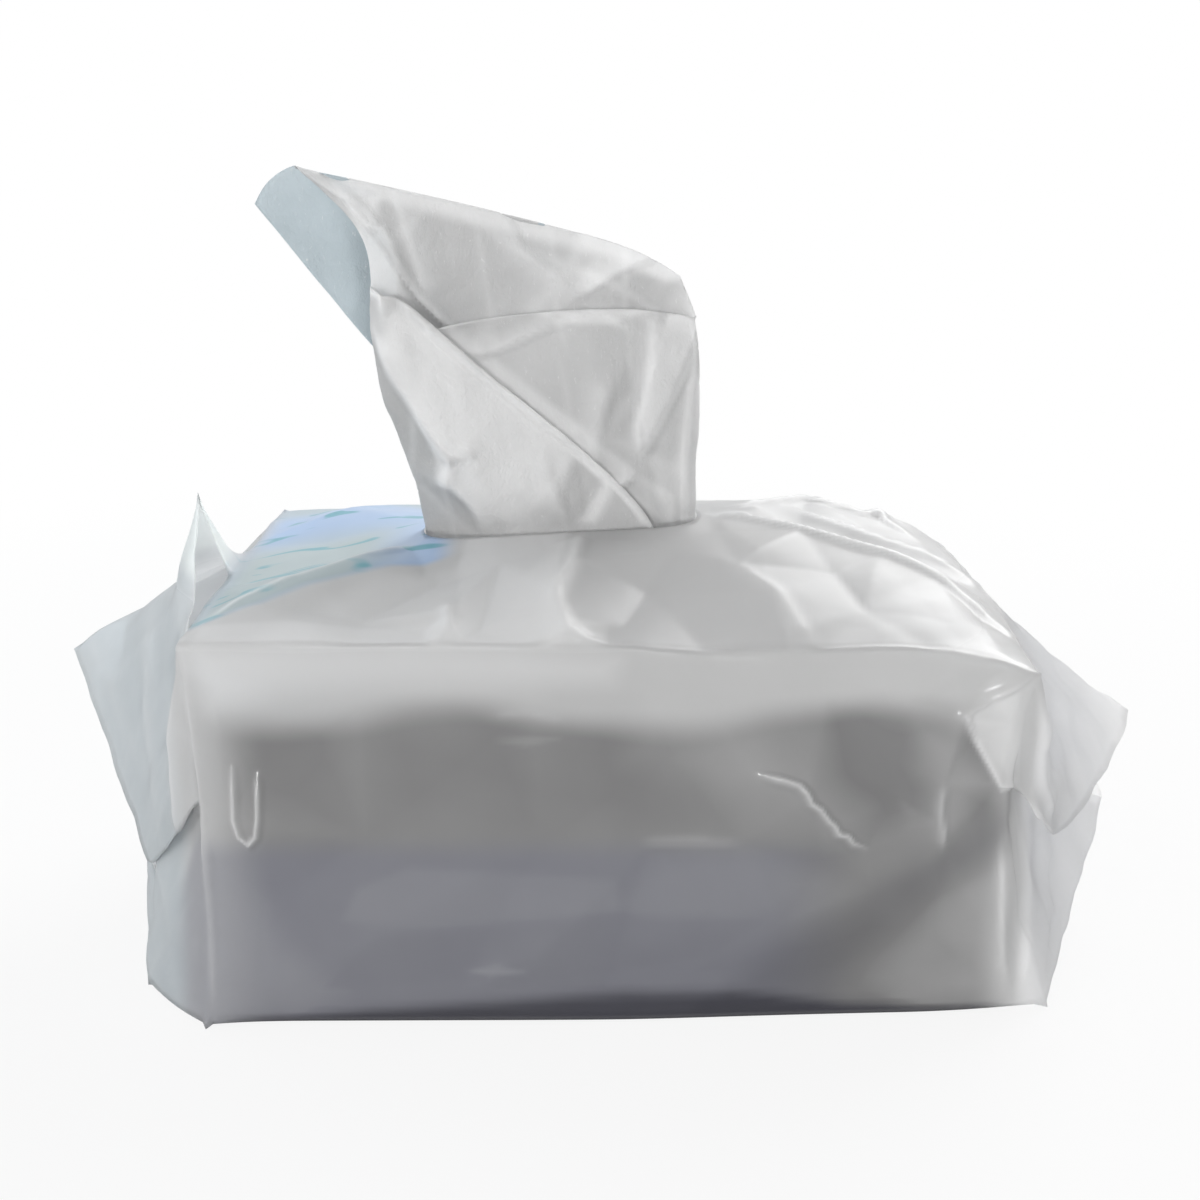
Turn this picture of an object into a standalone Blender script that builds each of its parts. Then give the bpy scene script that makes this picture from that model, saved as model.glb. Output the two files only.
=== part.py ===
"""A soft pack of wet wipes: folded milky film round a stack, with one wipe drawn up through its slot.

Metres, +Z up. The origin is on the surface that the pack stands on, under the middle of the stack.
X runs along the pack, and the slot side that faces the viewer is at -Y.
"""
import math

import bmesh
import bpy

MM = 0.001

# Stack of wipes
STACK_LENGTH = 176.0
STACK_DEPTH = 108.0
STACK_HEIGHT = 76.0
STACK_SAG = 8.0
STACK_CORNER = 5.0
STACK_GROUPS = 7
GROOVE_DEPTH = 0.7

# Film
FILM = 0.5
SIDE_ROOM = 3.0
END_ROOM_LEFT = 11.0
END_ROOM_RIGHT = 4.0
HEADSPACE = 17.0
RIGHT_SAG = 8.0
BASE_SPREAD = 3.0
LIP_RISE_LEFT = 10.0
LIP_RISE_RIGHT = 14.0
CORNER_CREASE = 0.75
FOLD_CREASE = 0.9

# Slot
SLOT_CENTRE = -16.0
SLOT_LENGTH = 76.0
SLOT_WIDTH = 24.0
SLOT_SHIFT = 2.5

# Wipes
SHEET = 0.5
CLEARANCE = 0.5
FOOT_LENGTH = 42.0
DRAWN_HEIGHT = 90.0

BODY_LEFT = -(STACK_LENGTH / 2 + END_ROOM_LEFT)
BODY_RIGHT = STACK_LENGTH / 2 + END_ROOM_RIGHT
HALF_DEPTH = STACK_DEPTH / 2 + SIDE_ROOM
TOP_EDGE = STACK_HEIGHT + HEADSPACE
SLOT_LEFT = SLOT_CENTRE - SLOT_LENGTH / 2
SLOT_RIGHT = SLOT_CENTRE + SLOT_LENGTH / 2
SLOT_FRONT = SLOT_SHIFT - SLOT_WIDTH / 2
SLOT_BACK = SLOT_SHIFT + SLOT_WIDTH / 2


def clear_objects():
    for old in list(bpy.data.objects):
        bpy.data.objects.remove(old, do_unlink=True)


def make_material(name, colour, roughness, alpha=1.0):
    material = bpy.data.materials.new(name)
    material.use_nodes = True
    shader = material.node_tree.nodes["Principled BSDF"]
    shader.inputs["Base Color"].default_value = (*colour, 1.0)
    shader.inputs["Roughness"].default_value = roughness
    shader.inputs["Alpha"].default_value = alpha
    material.diffuse_color = (*colour, alpha)
    return material


def blend(start, end, share):
    return start + (end - start) * share


def along(points, x):
    """Read a height from a list of (x, height) points, straight between them."""
    for (x0, z0), (x1, z1) in zip(points, points[1:]):
        if x <= x1:
            return blend(z0, z1, max(0.0, (x - x0) / (x1 - x0)))
    return points[-1][1]


class Cage:
    """Corner points and four-sided faces that a subdivision surface smooths."""

    def __init__(self):
        self.mesh = bmesh.new()
        self.crease = self.mesh.edges.layers.float.new("crease_edge")
        self.point = self.mesh.verts.layers.float.new("crease_vert")

    def grid(self, rows, closed=False, skip=None):
        """Lay faces between the rows; skip(row, column) leaves a face out."""
        net = [[self.mesh.verts.new([c * MM for c in point]) for point in row] for row in rows]
        count = len(rows[0])
        for i in range(len(rows) - 1):
            for j in range(count if closed else count - 1):
                k = (j + 1) % count
                if skip and skip(i, j):
                    continue
                self.mesh.faces.new((net[i][j], net[i][k], net[i + 1][k], net[i + 1][j]))
        return net

    def sharpen(self, points, value):
        for first, second in zip(points, points[1:]):
            edge = self.mesh.edges.get((first, second))
            if edge:
                edge[self.crease] = value

    def pin(self, corners):
        for corner in corners:
            corner[self.point] = 1.0

    def find(self, point):
        """The cage corner that lies nearest to a point in millimetres."""
        return min(self.mesh.verts, key=lambda v: sum((v.co[i] - point[i] * MM) ** 2 for i in range(3)))

    def finish(self, name, material, thickness=0.0, levels=0):
        bmesh.ops.remove_doubles(self.mesh, verts=self.mesh.verts, dist=0.00001)
        loose = [vert for vert in self.mesh.verts if not vert.link_faces]
        bmesh.ops.delete(self.mesh, geom=loose, context="VERTS")
        bmesh.ops.recalc_face_normals(self.mesh, faces=self.mesh.faces)
        data = bpy.data.meshes.new(name)
        self.mesh.to_mesh(data)
        self.mesh.free()
        for face in data.polygons:
            face.use_smooth = True
        data.materials.append(material)
        piece = bpy.data.objects.new(name, data)
        bpy.context.scene.collection.objects.link(piece)
        if levels:
            smooth = piece.modifiers.new("smooth", "SUBSURF")
            smooth.levels = levels
            smooth.render_levels = levels
        if thickness:
            wall = piece.modifiers.new("wall", "SOLIDIFY")
            wall.thickness = thickness * MM
            wall.offset = 0.0
        return piece


# Heights of the pack's upper edges and of its tented top

FRONT_EDGE_DROP = [(-1.0, 0.0), (0.0, 0.0), (0.2, 2.4), (0.33, 3.6), (0.5, 0.6), (0.68, 0.2),
                   (0.86, 2.4), (1.0, RIGHT_SAG)]
BACK_EDGE_RISE = [(-1.0, 0.7), (-0.4, 2.0), (0.38, 3.8), (0.73, 1.2), (0.9, -3.8), (1.0, -4.5)]


def end_share(x):
    """0 in the middle of the pack, -1 at its left end and 1 at its right end."""
    return x / BODY_RIGHT if x > 0 else -x / BODY_LEFT


def front_edge(x):
    return TOP_EDGE - along(FRONT_EDGE_DROP, end_share(x))


def back_edge(x):
    return TOP_EDGE + along(BACK_EDGE_RISE, end_share(x))


def roof(x, y):
    """Height of the top panel, drawn up like a hipped roof to the slot."""
    across = (y + HALF_DEPTH) / (2 * HALF_DEPTH)
    edge = blend(front_edge(x), back_edge(x), across)
    lip = TOP_EDGE + blend(LIP_RISE_LEFT, LIP_RISE_RIGHT, (x - SLOT_LEFT) / SLOT_LENGTH)
    lip = min(max(lip, TOP_EDGE + LIP_RISE_LEFT), TOP_EDGE + LIP_RISE_RIGHT)
    slopes = ((y + HALF_DEPTH) / (SLOT_FRONT + HALF_DEPTH), (HALF_DEPTH - y) / (HALF_DEPTH - SLOT_BACK),
              (x - BODY_LEFT) / (SLOT_LEFT - BODY_LEFT), (BODY_RIGHT - x) / (BODY_RIGHT - SLOT_RIGHT))
    return blend(edge, lip, min(1.0, max(0.0, min(slopes))))


def stack_top(x):
    """Height of the stack, which has slumped toward its right end."""
    share = (x + STACK_LENGTH / 2) / STACK_LENGTH
    return STACK_HEIGHT - STACK_SAG * share * share * (3 - 2 * share)


# Film wrapper. Stations go round the tube: front bottom edge, up the front, over the top, down the
# back and under the base. Each row of an end flap is (out past the end, share of the half depth,
# share of the height) at every station.

LEFT_NEAR = [
    (9.0, -1.04, 0.0), (3.0, -1.0, 0.27), (-1.0, -0.92, 0.55), (-0.4, -0.97, 0.58), (0.8, -0.985, 0.76),
    (1.6, -0.97, 0.935), (2.7, -0.7, 0.945), (4.9, -0.46, 0.93), (9.4, 0.0, 1.22), (5.0, 0.26, 0.955),
    (5.5, 0.46, 0.94), (3.0, 0.91, 0.965), (2.0, 0.95, 0.785), (0.0, 0.965, 0.6), (-0.5, 0.91, 0.55),
    (2.0, 1.0, 0.28), (7.0, 0.95, 0.0), (11.0, 0.35, 0.0), (11.0, -0.4, 0.0)]
LEFT_MIDDLE = [
    (18.0, -0.87, 0.01), (10.0, -0.92, 0.25), (3.5, -0.81, 0.525), (3.8, -0.93, 0.505), (4.4, -0.935, 0.645),
    (4.8, -0.935, 0.775), (7.0, -0.7, 0.85), (10.0, -0.44, 0.89), (15.5, -0.05, 0.965), (19.0, 0.16, 0.955),
    (18.5, 0.35, 0.9), (14.0, 0.65, 0.87), (10.0, 0.81, 0.71), (6.0, 0.88, 0.58), (5.0, 0.77, 0.55),
    (9.0, 0.9, 0.27), (16.0, 0.81, 0.04), (23.5, 0.32, 0.06), (23.5, -0.44, 0.03)]
LEFT_LOW = [
    (20.5, -0.73, 0.13), (15.0, -0.77, 0.29), (10.0, -0.67, 0.485), (9.5, -0.84, 0.415), (8.3, -0.87, 0.475),
    (7.6, -0.885, 0.54), (12.0, -0.7, 0.6), (16.5, -0.53, 0.665), (24.0, -0.27, 0.765), (30.0, -0.02, 0.85),
    (32.0, 0.16, 0.865), (33.0, 0.33, 0.84), (25.0, 0.53, 0.72), (17.0, 0.65, 0.61), (12.0, 0.58, 0.56),
    (13.0, 0.72, 0.39), (16.0, 0.7, 0.26), (24.5, 0.25, 0.32), (25.5, -0.44, 0.2)]
LEFT_FREE = [
    (16.5, -0.675, 0.265), (16.3, -0.58, 0.35), (16.0, -0.42, 0.475), (17.0, -0.69, 0.318),
    (17.9, -0.674, 0.313), (18.7, -0.658, 0.308), (22.6, -0.56, 0.366), (26.3, -0.47, 0.42),
    (33.0, -0.3, 0.532), (38.5, -0.16, 0.613), (43.5, -0.026, 0.688), (47.5, 0.088, 0.735),
    (42.0, 0.16, 0.695), (35.0, 0.26, 0.655), (21.0, 0.3, 0.6), (18.0, 0.44, 0.55), (14.0, 0.56, 0.495),
    (24.0, 0.21, 0.54), (25.0, -0.42, 0.365)]
RIGHT_NEAR = [
    (11.5, -0.96, 0.03), (1.0, -0.98, 0.285), (-3.9, -0.94, 0.605), (-3.6, -0.965, 0.625),
    (-2.5, -0.96, 0.75), (1.6, -0.935, 0.85), (1.8, -0.69, 0.885), (2.2, -0.42, 0.9), (2.6, -0.15, 0.915),
    (2.6, 0.21, 0.92), (2.0, 0.54, 0.91), (0.0, 0.83, 0.89), (0.2, 0.93, 0.77), (0.2, 0.965, 0.64),
    (-0.4, 0.94, 0.6), (3.0, 0.98, 0.29), (8.5, 0.97, 0.02), (10.5, 0.35, 0.03), (10.5, -0.33, 0.03)]
RIGHT_MIDDLE = [
    (14.5, -0.84, 0.075), (4.5, -0.88, 0.29), (0.0, -0.79, 0.61), (0.5, -0.91, 0.575), (2.0, -0.905, 0.655),
    (4.0, -0.885, 0.74), (4.8, -0.67, 0.8), (6.5, -0.42, 0.83), (9.0, -0.14, 0.85), (11.5, 0.175, 0.84),
    (12.5, 0.44, 0.8), (10.5, 0.67, 0.74), (7.5, 0.81, 0.68), (3.5, 0.88, 0.6), (1.5, 0.79, 0.58),
    (6.5, 0.88, 0.3), (13.5, 0.81, 0.085), (17.5, 0.35, 0.12), (17.5, -0.32, 0.12)]
RIGHT_LOW = [
    (23.0, -0.58, 0.195), (13.0, -0.68, 0.31), (9.0, -0.63, 0.56), (6.5, -0.815, 0.485), (7.0, -0.79, 0.515),
    (8.0, -0.765, 0.55), (12.5, -0.6, 0.6), (16.5, -0.43, 0.635), (22.0, -0.21, 0.665), (26.5, 0.02, 0.675),
    (29.0, 0.23, 0.655), (29.0, 0.42, 0.62), (23.0, 0.54, 0.585), (16.0, 0.65, 0.55), (11.0, 0.58, 0.535),
    (15.0, 0.68, 0.32), (21.0, 0.63, 0.215), (27.0, 0.28, 0.235), (26.5, -0.21, 0.235)]
RIGHT_FREE = [
    (35.0, -0.19, 0.35), (24.0, -0.28, 0.43), (18.0, -0.35, 0.505), (14.0, -0.63, 0.376), (14.8, -0.614, 0.371),
    (15.5, -0.596, 0.367), (20.0, -0.51, 0.371), (24.6, -0.42, 0.38), (32.0, -0.27, 0.41), (38.3, -0.105, 0.446),
    (43.0, 0.02, 0.495), (46.0, 0.115, 0.537), (42.0, 0.185, 0.527), (37.0, 0.255, 0.516), (24.0, 0.265, 0.505),
    (24.0, 0.385, 0.43), (30.0, 0.42, 0.387), (36.0, 0.21, 0.376), (36.5, -0.05, 0.365)]

LEFT_END = [
    (-0.5, -1.165, 0.0), (-1.8, -1.025, 0.29), (-1.4, -1.0, 0.565), (-1.4, -1.0, 0.613), (-1.2, -1.0, 0.8),
    (0.0, -1.0, 1.0), (0.2, -0.7, 1.003), (0.4, -0.42, 1.005), (0.6, -0.16, 1.007), (0.8, 0.25, 1.008),
    (0.8, 0.6, 1.008), (0.8, 1.0, 1.008), (-1.0, 1.0, 0.81), (-3.0, 1.0, 0.613), (-3.0, 1.0, 0.565),
    (-2.0, 1.02, 0.29), (-1.0, 1.05, 0.0), (-1.0, 0.35, 0.0), (-1.0, -0.35, 0.0)]
RIGHT_END = [
    (9.7, -1.01, 0.0), (-1.8, -1.01, 0.29), (-5.2, -1.0, 0.6), (-5.4, -1.0, 0.645), (-5.5, -0.99, 0.785),
    (0.3, -0.965, 0.917), (0.6, -0.7, 0.921), (0.8, -0.42, 0.925), (0.6, -0.16, 0.935), (-0.5, 0.23, 0.946),
    (-2.0, 0.58, 0.949), (-5.5, 0.895, 0.953), (-3.0, 0.98, 0.796), (-2.0, 1.0, 0.645), (-2.0, 1.0, 0.6),
    (1.0, 1.02, 0.29), (7.0, 1.02, 0.0), (7.0, 0.35, 0.0), (7.0, -0.35, 0.0)]


def end_row(table, left):
    row = []
    for out, depth_share, height_share in table:
        x = BODY_LEFT - out if left else BODY_RIGHT + out
        row.append((x, depth_share * HALF_DEPTH, FILM / 2 + height_share * (TOP_EDGE - FILM / 2)))
    return row


def body_row(x):
    """One section across the pack, station by station."""
    front, back = -HALF_DEPTH, HALF_DEPTH
    floor = FILM / 2
    lean = BASE_SPREAD
    waist = TOP_EDGE * 0.82
    return [
        (x, front - lean, floor), (x, front - lean * 0.5, TOP_EDGE * 0.29), (x, front - 0.8, TOP_EDGE * 0.56),
        (x, front - 0.4, TOP_EDGE * 0.65), (x, front + 0.3, waist), (x, front, front_edge(x)),
        (x, front * 0.7, roof(x, front * 0.7)), (x, front * 0.42, roof(x, front * 0.42)),
        (x, SLOT_FRONT, roof(x, SLOT_FRONT)), (x, SLOT_BACK, roof(x, SLOT_BACK)),
        (x, back * 0.6, roof(x, back * 0.6)), (x, back, back_edge(x)), (x, back - 0.3, waist),
        (x, back + 0.4, TOP_EDGE * 0.65), (x, back + 0.8, TOP_EDGE * 0.56), (x, back + lean * 0.5, TOP_EDGE * 0.29),
        (x, back + lean, floor), (x, back * 0.35, floor), (x, front * 0.35, floor)]


def film_rows():
    rows = [end_row(table, True) for table in (LEFT_FREE, LEFT_LOW, LEFT_MIDDLE, LEFT_NEAR, LEFT_END)]
    gap_left = SLOT_LEFT - BODY_LEFT
    gap_right = BODY_RIGHT - SLOT_RIGHT
    places = [BODY_LEFT + gap_left * share for share in (0.25, 0.62)]
    places += [SLOT_LEFT + SLOT_LENGTH * share for share in (0.0, 0.25, 0.5, 0.75, 1.0)]
    places += [SLOT_RIGHT + gap_right * share for share in (0.28, 0.56, 0.8)]
    rows += [body_row(x) for x in places]
    rows += [end_row(table, False) for table in (RIGHT_END, RIGHT_NEAR, RIGHT_MIDDLE, RIGHT_LOW, RIGHT_FREE)]
    return rows


FRONT_BOTTOM, FRONT_TUCK, FRONT_FOLD, FRONT_TOP = 0, 2, 3, 5
SLOT_STATION, BACK_TOP, BACK_FOLD, BACK_TUCK, BACK_BOTTOM = 8, 11, 13, 14, 16
NEAR_LEFT_ROW, LEFT_END_ROW, SLOT_FIRST_ROW, SLOT_LAST_ROW, RIGHT_END_ROW = 3, 4, 7, 11, 15


def left_out(row, station):
    """Faces missing from the wrapper: the slot, and the split along the top left edge."""
    slot = station == SLOT_STATION and SLOT_FIRST_ROW <= row < SLOT_LAST_ROW
    split = row == NEAR_LEFT_ROW and FRONT_TOP <= station < SLOT_STATION
    return slot or split


def make_film(material):
    cage = Cage()
    net = cage.grid(film_rows(), closed=True, skip=left_out)
    for station in (FRONT_BOTTOM, FRONT_TOP, BACK_TOP, BACK_BOTTOM):
        cage.sharpen([row[station] for row in net], CORNER_CREASE)
    for station in (FRONT_TUCK, FRONT_FOLD, BACK_FOLD, BACK_TUCK):
        cage.sharpen([row[station] for row in net[:LEFT_END_ROW + 1]], FOLD_CREASE)
        cage.sharpen([row[station] for row in net[RIGHT_END_ROW:]], FOLD_CREASE)
    for row in (LEFT_END_ROW, RIGHT_END_ROW):
        cage.sharpen(net[row] + net[row][:1], CORNER_CREASE)
        cage.pin(net[row][station] for station in (FRONT_BOTTOM, FRONT_TOP, BACK_TOP, BACK_BOTTOM))
    for row in (net[0], net[-1]):
        cage.pin((row[FRONT_TOP], row[BACK_TOP]))
    ear = net[NEAR_LEFT_ROW][SLOT_STATION]
    cage.pin((ear,))
    for beside in (net[LEFT_END_ROW][SLOT_STATION], net[NEAR_LEFT_ROW][SLOT_STATION + 1],
                   net[NEAR_LEFT_ROW - 1][SLOT_STATION]):
        cage.sharpen((ear, beside), FOLD_CREASE)
    return cage.finish("film_wrapper", material, thickness=FILM, levels=1)


# Stack: a block with rounded corners and a shallow groove between groups of folded wipes

def stack_outline(inset):
    half_x = STACK_LENGTH / 2 - inset
    half_y = STACK_DEPTH / 2 - inset
    turn = STACK_CORNER * 0.3
    front = [(-half_x, -half_y + STACK_CORNER), (-half_x + turn, -half_y + turn),
             (-half_x + STACK_CORNER, -half_y)]
    front += [(half_x * share, -half_y) for share in (-0.6, -0.2, 0.2, 0.6)]
    front += [(half_x - STACK_CORNER, -half_y), (half_x - turn, -half_y + turn),
              (half_x, -half_y + STACK_CORNER)]
    return front + [(x, -y) for x, y in reversed(front)]


def make_stack(material):
    base = FILM + CLEARANCE
    levels = []
    for group in range(STACK_GROUPS):
        low = group / STACK_GROUPS
        high = (group + 1) / STACK_GROUPS
        levels += [(low, GROOVE_DEPTH), (blend(low, high, 0.22), 0.0), (blend(low, high, 0.78), 0.0)]
    levels.append((1.0, GROOVE_DEPTH * 3))
    rows = []
    for share, inset in levels:
        rows.append([(x, y, blend(base, stack_top(x), share)) for x, y in stack_outline(inset)])
    cage = Cage()
    net = cage.grid(rows, closed=True)
    half = len(net[0]) // 2
    for ring in (net[0], net[-1]):
        for k in range(half - 1):
            cage.mesh.faces.new((ring[k], ring[k + 1], ring[-k - 2], ring[-k - 1]))
    return cage.finish("wipe_stack", material)


# The next wipe lies on the stack, folded in two round the foot of the drawn one

def make_next_wipe(material):
    step = SHEET + CLEARANCE
    far = STACK_DEPTH / 2 - 5.0
    section = [(-far, 1), (-far * 0.3, 1), (far * 0.3, 1), (far - 1.5, 1), (far, 2), (far - 1.5, 3),
               (far * 0.65, 3), (SLOT_BACK + 10.0, 3.4)]
    side = STACK_LENGTH / 2 - 6.0
    rows = []
    for share in (-1.0, -0.66, -0.33, 0.0, 0.33, 0.66, 1.0):
        x = side * share
        rows.append([(x, y, stack_top(x) + CLEARANCE + SHEET / 2 + step * (layer - 1)) for y, layer in section])
    cage = Cage()
    net = cage.grid(rows)
    cage.sharpen([row[4] for row in net], 0.6)
    return cage.finish("next_wipe", material, thickness=SHEET)


# The drawn wipe. Widths are shares of the slot's length from its left end; heights are above the lip.

def lip_height(x):
    share = min(1.0, max(0.0, (x - SLOT_LEFT) / SLOT_LENGTH))
    return TOP_EDGE + blend(LIP_RISE_LEFT, LIP_RISE_RIGHT, share)


def raised(x, y, rise):
    """A point of the drawn wipe: rise is its height above the slot's left lip, in shares of 90 mm."""
    return (x, y, TOP_EDGE + LIP_RISE_LEFT + rise * DRAWN_HEIGHT)


def drawn_back():
    """The tall back panel, from its foot between the next wipe's panels up to its slanted top edge."""
    foot_level = CLEARANCE + SHEET / 2 + SHEET + CLEARANCE
    rows = []
    for y, left, right in ((FOOT_LENGTH, -62.0, 34.0), (FOOT_LENGTH * 0.5, -61.0, 32.0), (9.0, -58.0, 29.0)):
        places = [blend(left, right, k / 6) for k in range(7)]
        rows.append([(x, y, stack_top(x) + foot_level) for x in places])
    for y, left, right, rise in ((3.5, -53.0, 22.0, -0.235), (2.0, -51.0, 19.0, -0.11), (1.5, -50.5, 18.2, 0.01)):
        places = [blend(left, right, k / 6) for k in range(7)]
        rows.append([raised(x, y + 0.7 * math.sin(k * 1.9), rise) for k, x in enumerate(places)])
    rows.append([raised(*p) for p in ((-55.5, 1.0, 0.22), (-43.0, 2.5, 0.23), (-30.0, 2.2, 0.24), (-17.0, 3.0, 0.24),
                                      (-4.0, 2.4, 0.25), (8.0, 2.5, 0.25), (18.6, 0.5, 0.26))])
    rows.append([raised(*p) for p in ((-62.6, 0.5, 0.51), (-48.0, 3.0, 0.52), (-34.0, 3.0, 0.52), (-19.0, 2.8, 0.52),
                                      (-5.0, 3.0, 0.52), (9.0, 2.2, 0.51), (19.9, -0.5, 0.5))])
    rows.append([raised(*p) for p in ((-61.5, 0.0, 0.68), (-50.0, 3.0, 0.7), (-36.0, 4.0, 0.69), (-20.0, 3.4, 0.67),
                                      (-6.0, 3.2, 0.65), (8.0, 2.0, 0.62), (17.6, -0.5, 0.6))])
    rows.append([raised(*p) for p in ((-62.0, 3.5, 0.83), (-53.0, 4.5, 0.83), (-38.0, 4.8, 0.8), (-22.0, 4.2, 0.76),
                                      (-7.0, 3.6, 0.72), (6.5, 2.2, 0.68), (15.5, 0.0, 0.655))])
    rows.append([raised(*p) for p in ((-80.1, 9.0, 0.99), (-62.0, 7.6, 0.955), (-45.0, 6.4, 0.915), (-28.5, 5.2, 0.87),
                                      (-11.0, 4.2, 0.825), (3.6, 2.8, 0.785), (13.3, 0.5, 0.715))])
    return rows


def drawn_front(back):
    """The lower left panel, folded forward at the left edge; its free hem crosses the front."""
    left = [row[0] for row in back[4:9]]
    inner = [
        [raised(*p) for p in ((-38.0, -5.2, -0.1), (-16.0, -6.6, -0.1), (8.0, -6.4, -0.08))],
        [raised(*p) for p in ((-37.5, -5.6, 0.01), (-15.5, -7.0, 0.02), (10.0, -6.6, 0.04))],
        [raised(*p) for p in ((-44.0, -7.6, 0.2), (-29.0, -10.2, 0.2), (-8.0, -9.6, 0.285))],
        [raised(*p) for p in ((-56.0, -6.8, 0.48), (-47.5, -8.8, 0.49), (-35.0, -8.6, 0.5))],
        [raised(*p) for p in ((-59.8, -4.4, 0.68), (-57.4, -5.6, 0.66), (-53.8, -5.4, 0.67))]]
    return [[edge] + row for edge, row in zip(left, inner)]


def drawn_middle(back):
    """The panel folded forward at the right edge, between the other two."""
    right = [row[6] for row in back[4:9]]
    inner = [
        [raised(*p) for p in ((10.0, -2.6, -0.08), (-12.0, -2.9, -0.1), (-34.0, -2.1, -0.1))],
        [raised(*p) for p in ((10.5, -2.8, 0.03), (-11.5, -3.0, 0.02), (-33.5, -2.2, 0.01))],
        [raised(*p) for p in ((9.0, -5.6, 0.25), (-10.0, -5.0, 0.24), (-31.0, -3.8, 0.24))],
        [raised(*p) for p in ((10.5, -6.0, 0.5), (-11.0, -4.6, 0.51), (-34.0, -3.2, 0.5))],
        [raised(*p) for p in ((8.5, -5.2, 0.595), (-13.0, -3.8, 0.62), (-43.0, -2.2, 0.57))]]
    return [[edge] + row for edge, row in zip(right, inner)]


def drawn_corner(back):
    """The corner turned down behind the top edge."""
    top = back[-1][:5]
    return [
        top,
        [raised(*p) for p in ((-87.6, 11.5, 0.97), (-66.0, 11.5, 0.925), (-47.5, 10.4, 0.88), (-31.0, 9.2, 0.83),
                              (-14.5, 7.4, 0.785))],
        [raised(*p) for p in ((-91.0, 12.0, 0.91), (-69.0, 12.6, 0.83), (-51.0, 11.8, 0.79), (-34.0, 10.8, 0.76),
                              (-19.0, 8.8, 0.74))],
        [raised(*p) for p in ((-77.0, 11.0, 0.71), (-62.0, 11.6, 0.7), (-50.0, 11.2, 0.7), (-38.0, 10.6, 0.7),
                              (-26.0, 9.2, 0.71))],
        [raised(*p) for p in ((-63.5, 9.0, 0.515), (-55.0, 9.6, 0.56), (-47.0, 9.6, 0.59), (-39.0, 9.6, 0.62),
                              (-31.0, 9.0, 0.66))]]


def make_pulled_wipe(material):
    cage = Cage()
    back = drawn_back()
    main = cage.grid(back)
    cage.grid(drawn_front(back))
    cage.grid(drawn_middle(back))
    cage.grid(drawn_corner(back))
    bmesh.ops.remove_doubles(cage.mesh, verts=cage.mesh.verts, dist=0.00001)
    for fold in ([row[0] for row in back[4:9]], [row[6] for row in back[4:9]], back[-1][:5]):
        cage.sharpen([cage.find(point) for point in fold], 0.8)
    corner = drawn_corner(back)
    cage.pin(cage.find(point) for point in (corner[0][0], corner[2][0], corner[4][0], back[-1][6]))
    return cage.finish("pulled_wipe", material, thickness=SHEET, levels=1)


def main():
    clear_objects()
    film = make_material("milky_film", (0.80, 0.83, 0.86), 0.2, 0.6)
    fabric = make_material("wipe_fabric", (0.88, 0.88, 0.87), 0.9)
    folded = make_material("folded_wipes", (0.84, 0.84, 0.84), 0.9)
    make_film(film)
    make_stack(folded)
    make_next_wipe(fabric)
    make_pulled_wipe(fabric)


main()
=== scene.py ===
"""Looks for a soft pack of wet wipes: milky film folded over at both ends, the stack inside it, and the
wipe that is drawn up through the slot. Positions are in the frame's metres; tables are in millimetres.
"""

import math

import bmesh
import bpy
import numpy as np
from bpy.props import FloatProperty, FloatVectorProperty, IntProperty, PointerProperty
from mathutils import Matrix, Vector, geometry, noise


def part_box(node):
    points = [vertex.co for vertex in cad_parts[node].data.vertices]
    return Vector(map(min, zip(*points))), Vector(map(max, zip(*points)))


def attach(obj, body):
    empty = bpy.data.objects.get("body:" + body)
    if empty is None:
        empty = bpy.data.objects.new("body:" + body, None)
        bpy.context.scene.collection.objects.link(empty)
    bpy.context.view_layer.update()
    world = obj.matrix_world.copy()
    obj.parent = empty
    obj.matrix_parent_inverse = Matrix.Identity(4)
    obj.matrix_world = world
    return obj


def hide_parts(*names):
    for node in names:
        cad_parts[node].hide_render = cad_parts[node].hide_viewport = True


bl_info = {
    "name": "Wet wipes pack",
    "version": (1, 0, 0),
    "blender": (4, 5, 0),
    "location": "View3D > Sidebar > Wipes",
    "description": "Film, stack and drawn wipe of a soft pack of wet wipes",
    "category": "Object",
}

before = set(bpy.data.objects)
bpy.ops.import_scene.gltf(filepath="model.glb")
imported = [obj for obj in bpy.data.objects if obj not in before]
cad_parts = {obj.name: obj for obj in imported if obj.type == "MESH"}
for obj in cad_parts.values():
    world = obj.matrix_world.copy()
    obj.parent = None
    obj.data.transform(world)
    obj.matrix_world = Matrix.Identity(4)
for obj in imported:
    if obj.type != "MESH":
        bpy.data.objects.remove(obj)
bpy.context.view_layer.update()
STACK_LOW, STACK_HIGH = (Vector(corner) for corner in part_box("wipe_stack"))
BODY = "root"
MM = 0.001
MERGE = 0.00001

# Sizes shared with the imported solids, in millimetres
HALF_DEPTH = STACK_HIGH.y / MM + 3.0
BODY_LEFT = STACK_LOW.x / MM - 11.0
BODY_RIGHT = STACK_HIGH.x / MM + 4.0
TOP_EDGE = 93.0
FLOOR = 0.25
SLOT_CENTRE = -16.2
SLOT_LENGTH = 71.6
SLOT_LEFT = SLOT_CENTRE - SLOT_LENGTH / 2
SLOT_RIGHT = SLOT_CENTRE + SLOT_LENGTH / 2
SLOT_FRONT = -9.5
SLOT_BACK = 13.0
LIP_LEFT = 10.0
LIP_RIGHT = 14.0
WIPE_RISE = 90.0
STACK_HEIGHT = 76.0
STACK_SAG = 8.0
STACK_LENGTH = (STACK_HIGH.x - STACK_LOW.x) / MM
STACK_DEPTH = (STACK_HIGH.y - STACK_LOW.y) / MM
SHEET = 0.5
CLEARANCE = 0.5


# Settings that a user would change

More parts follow.
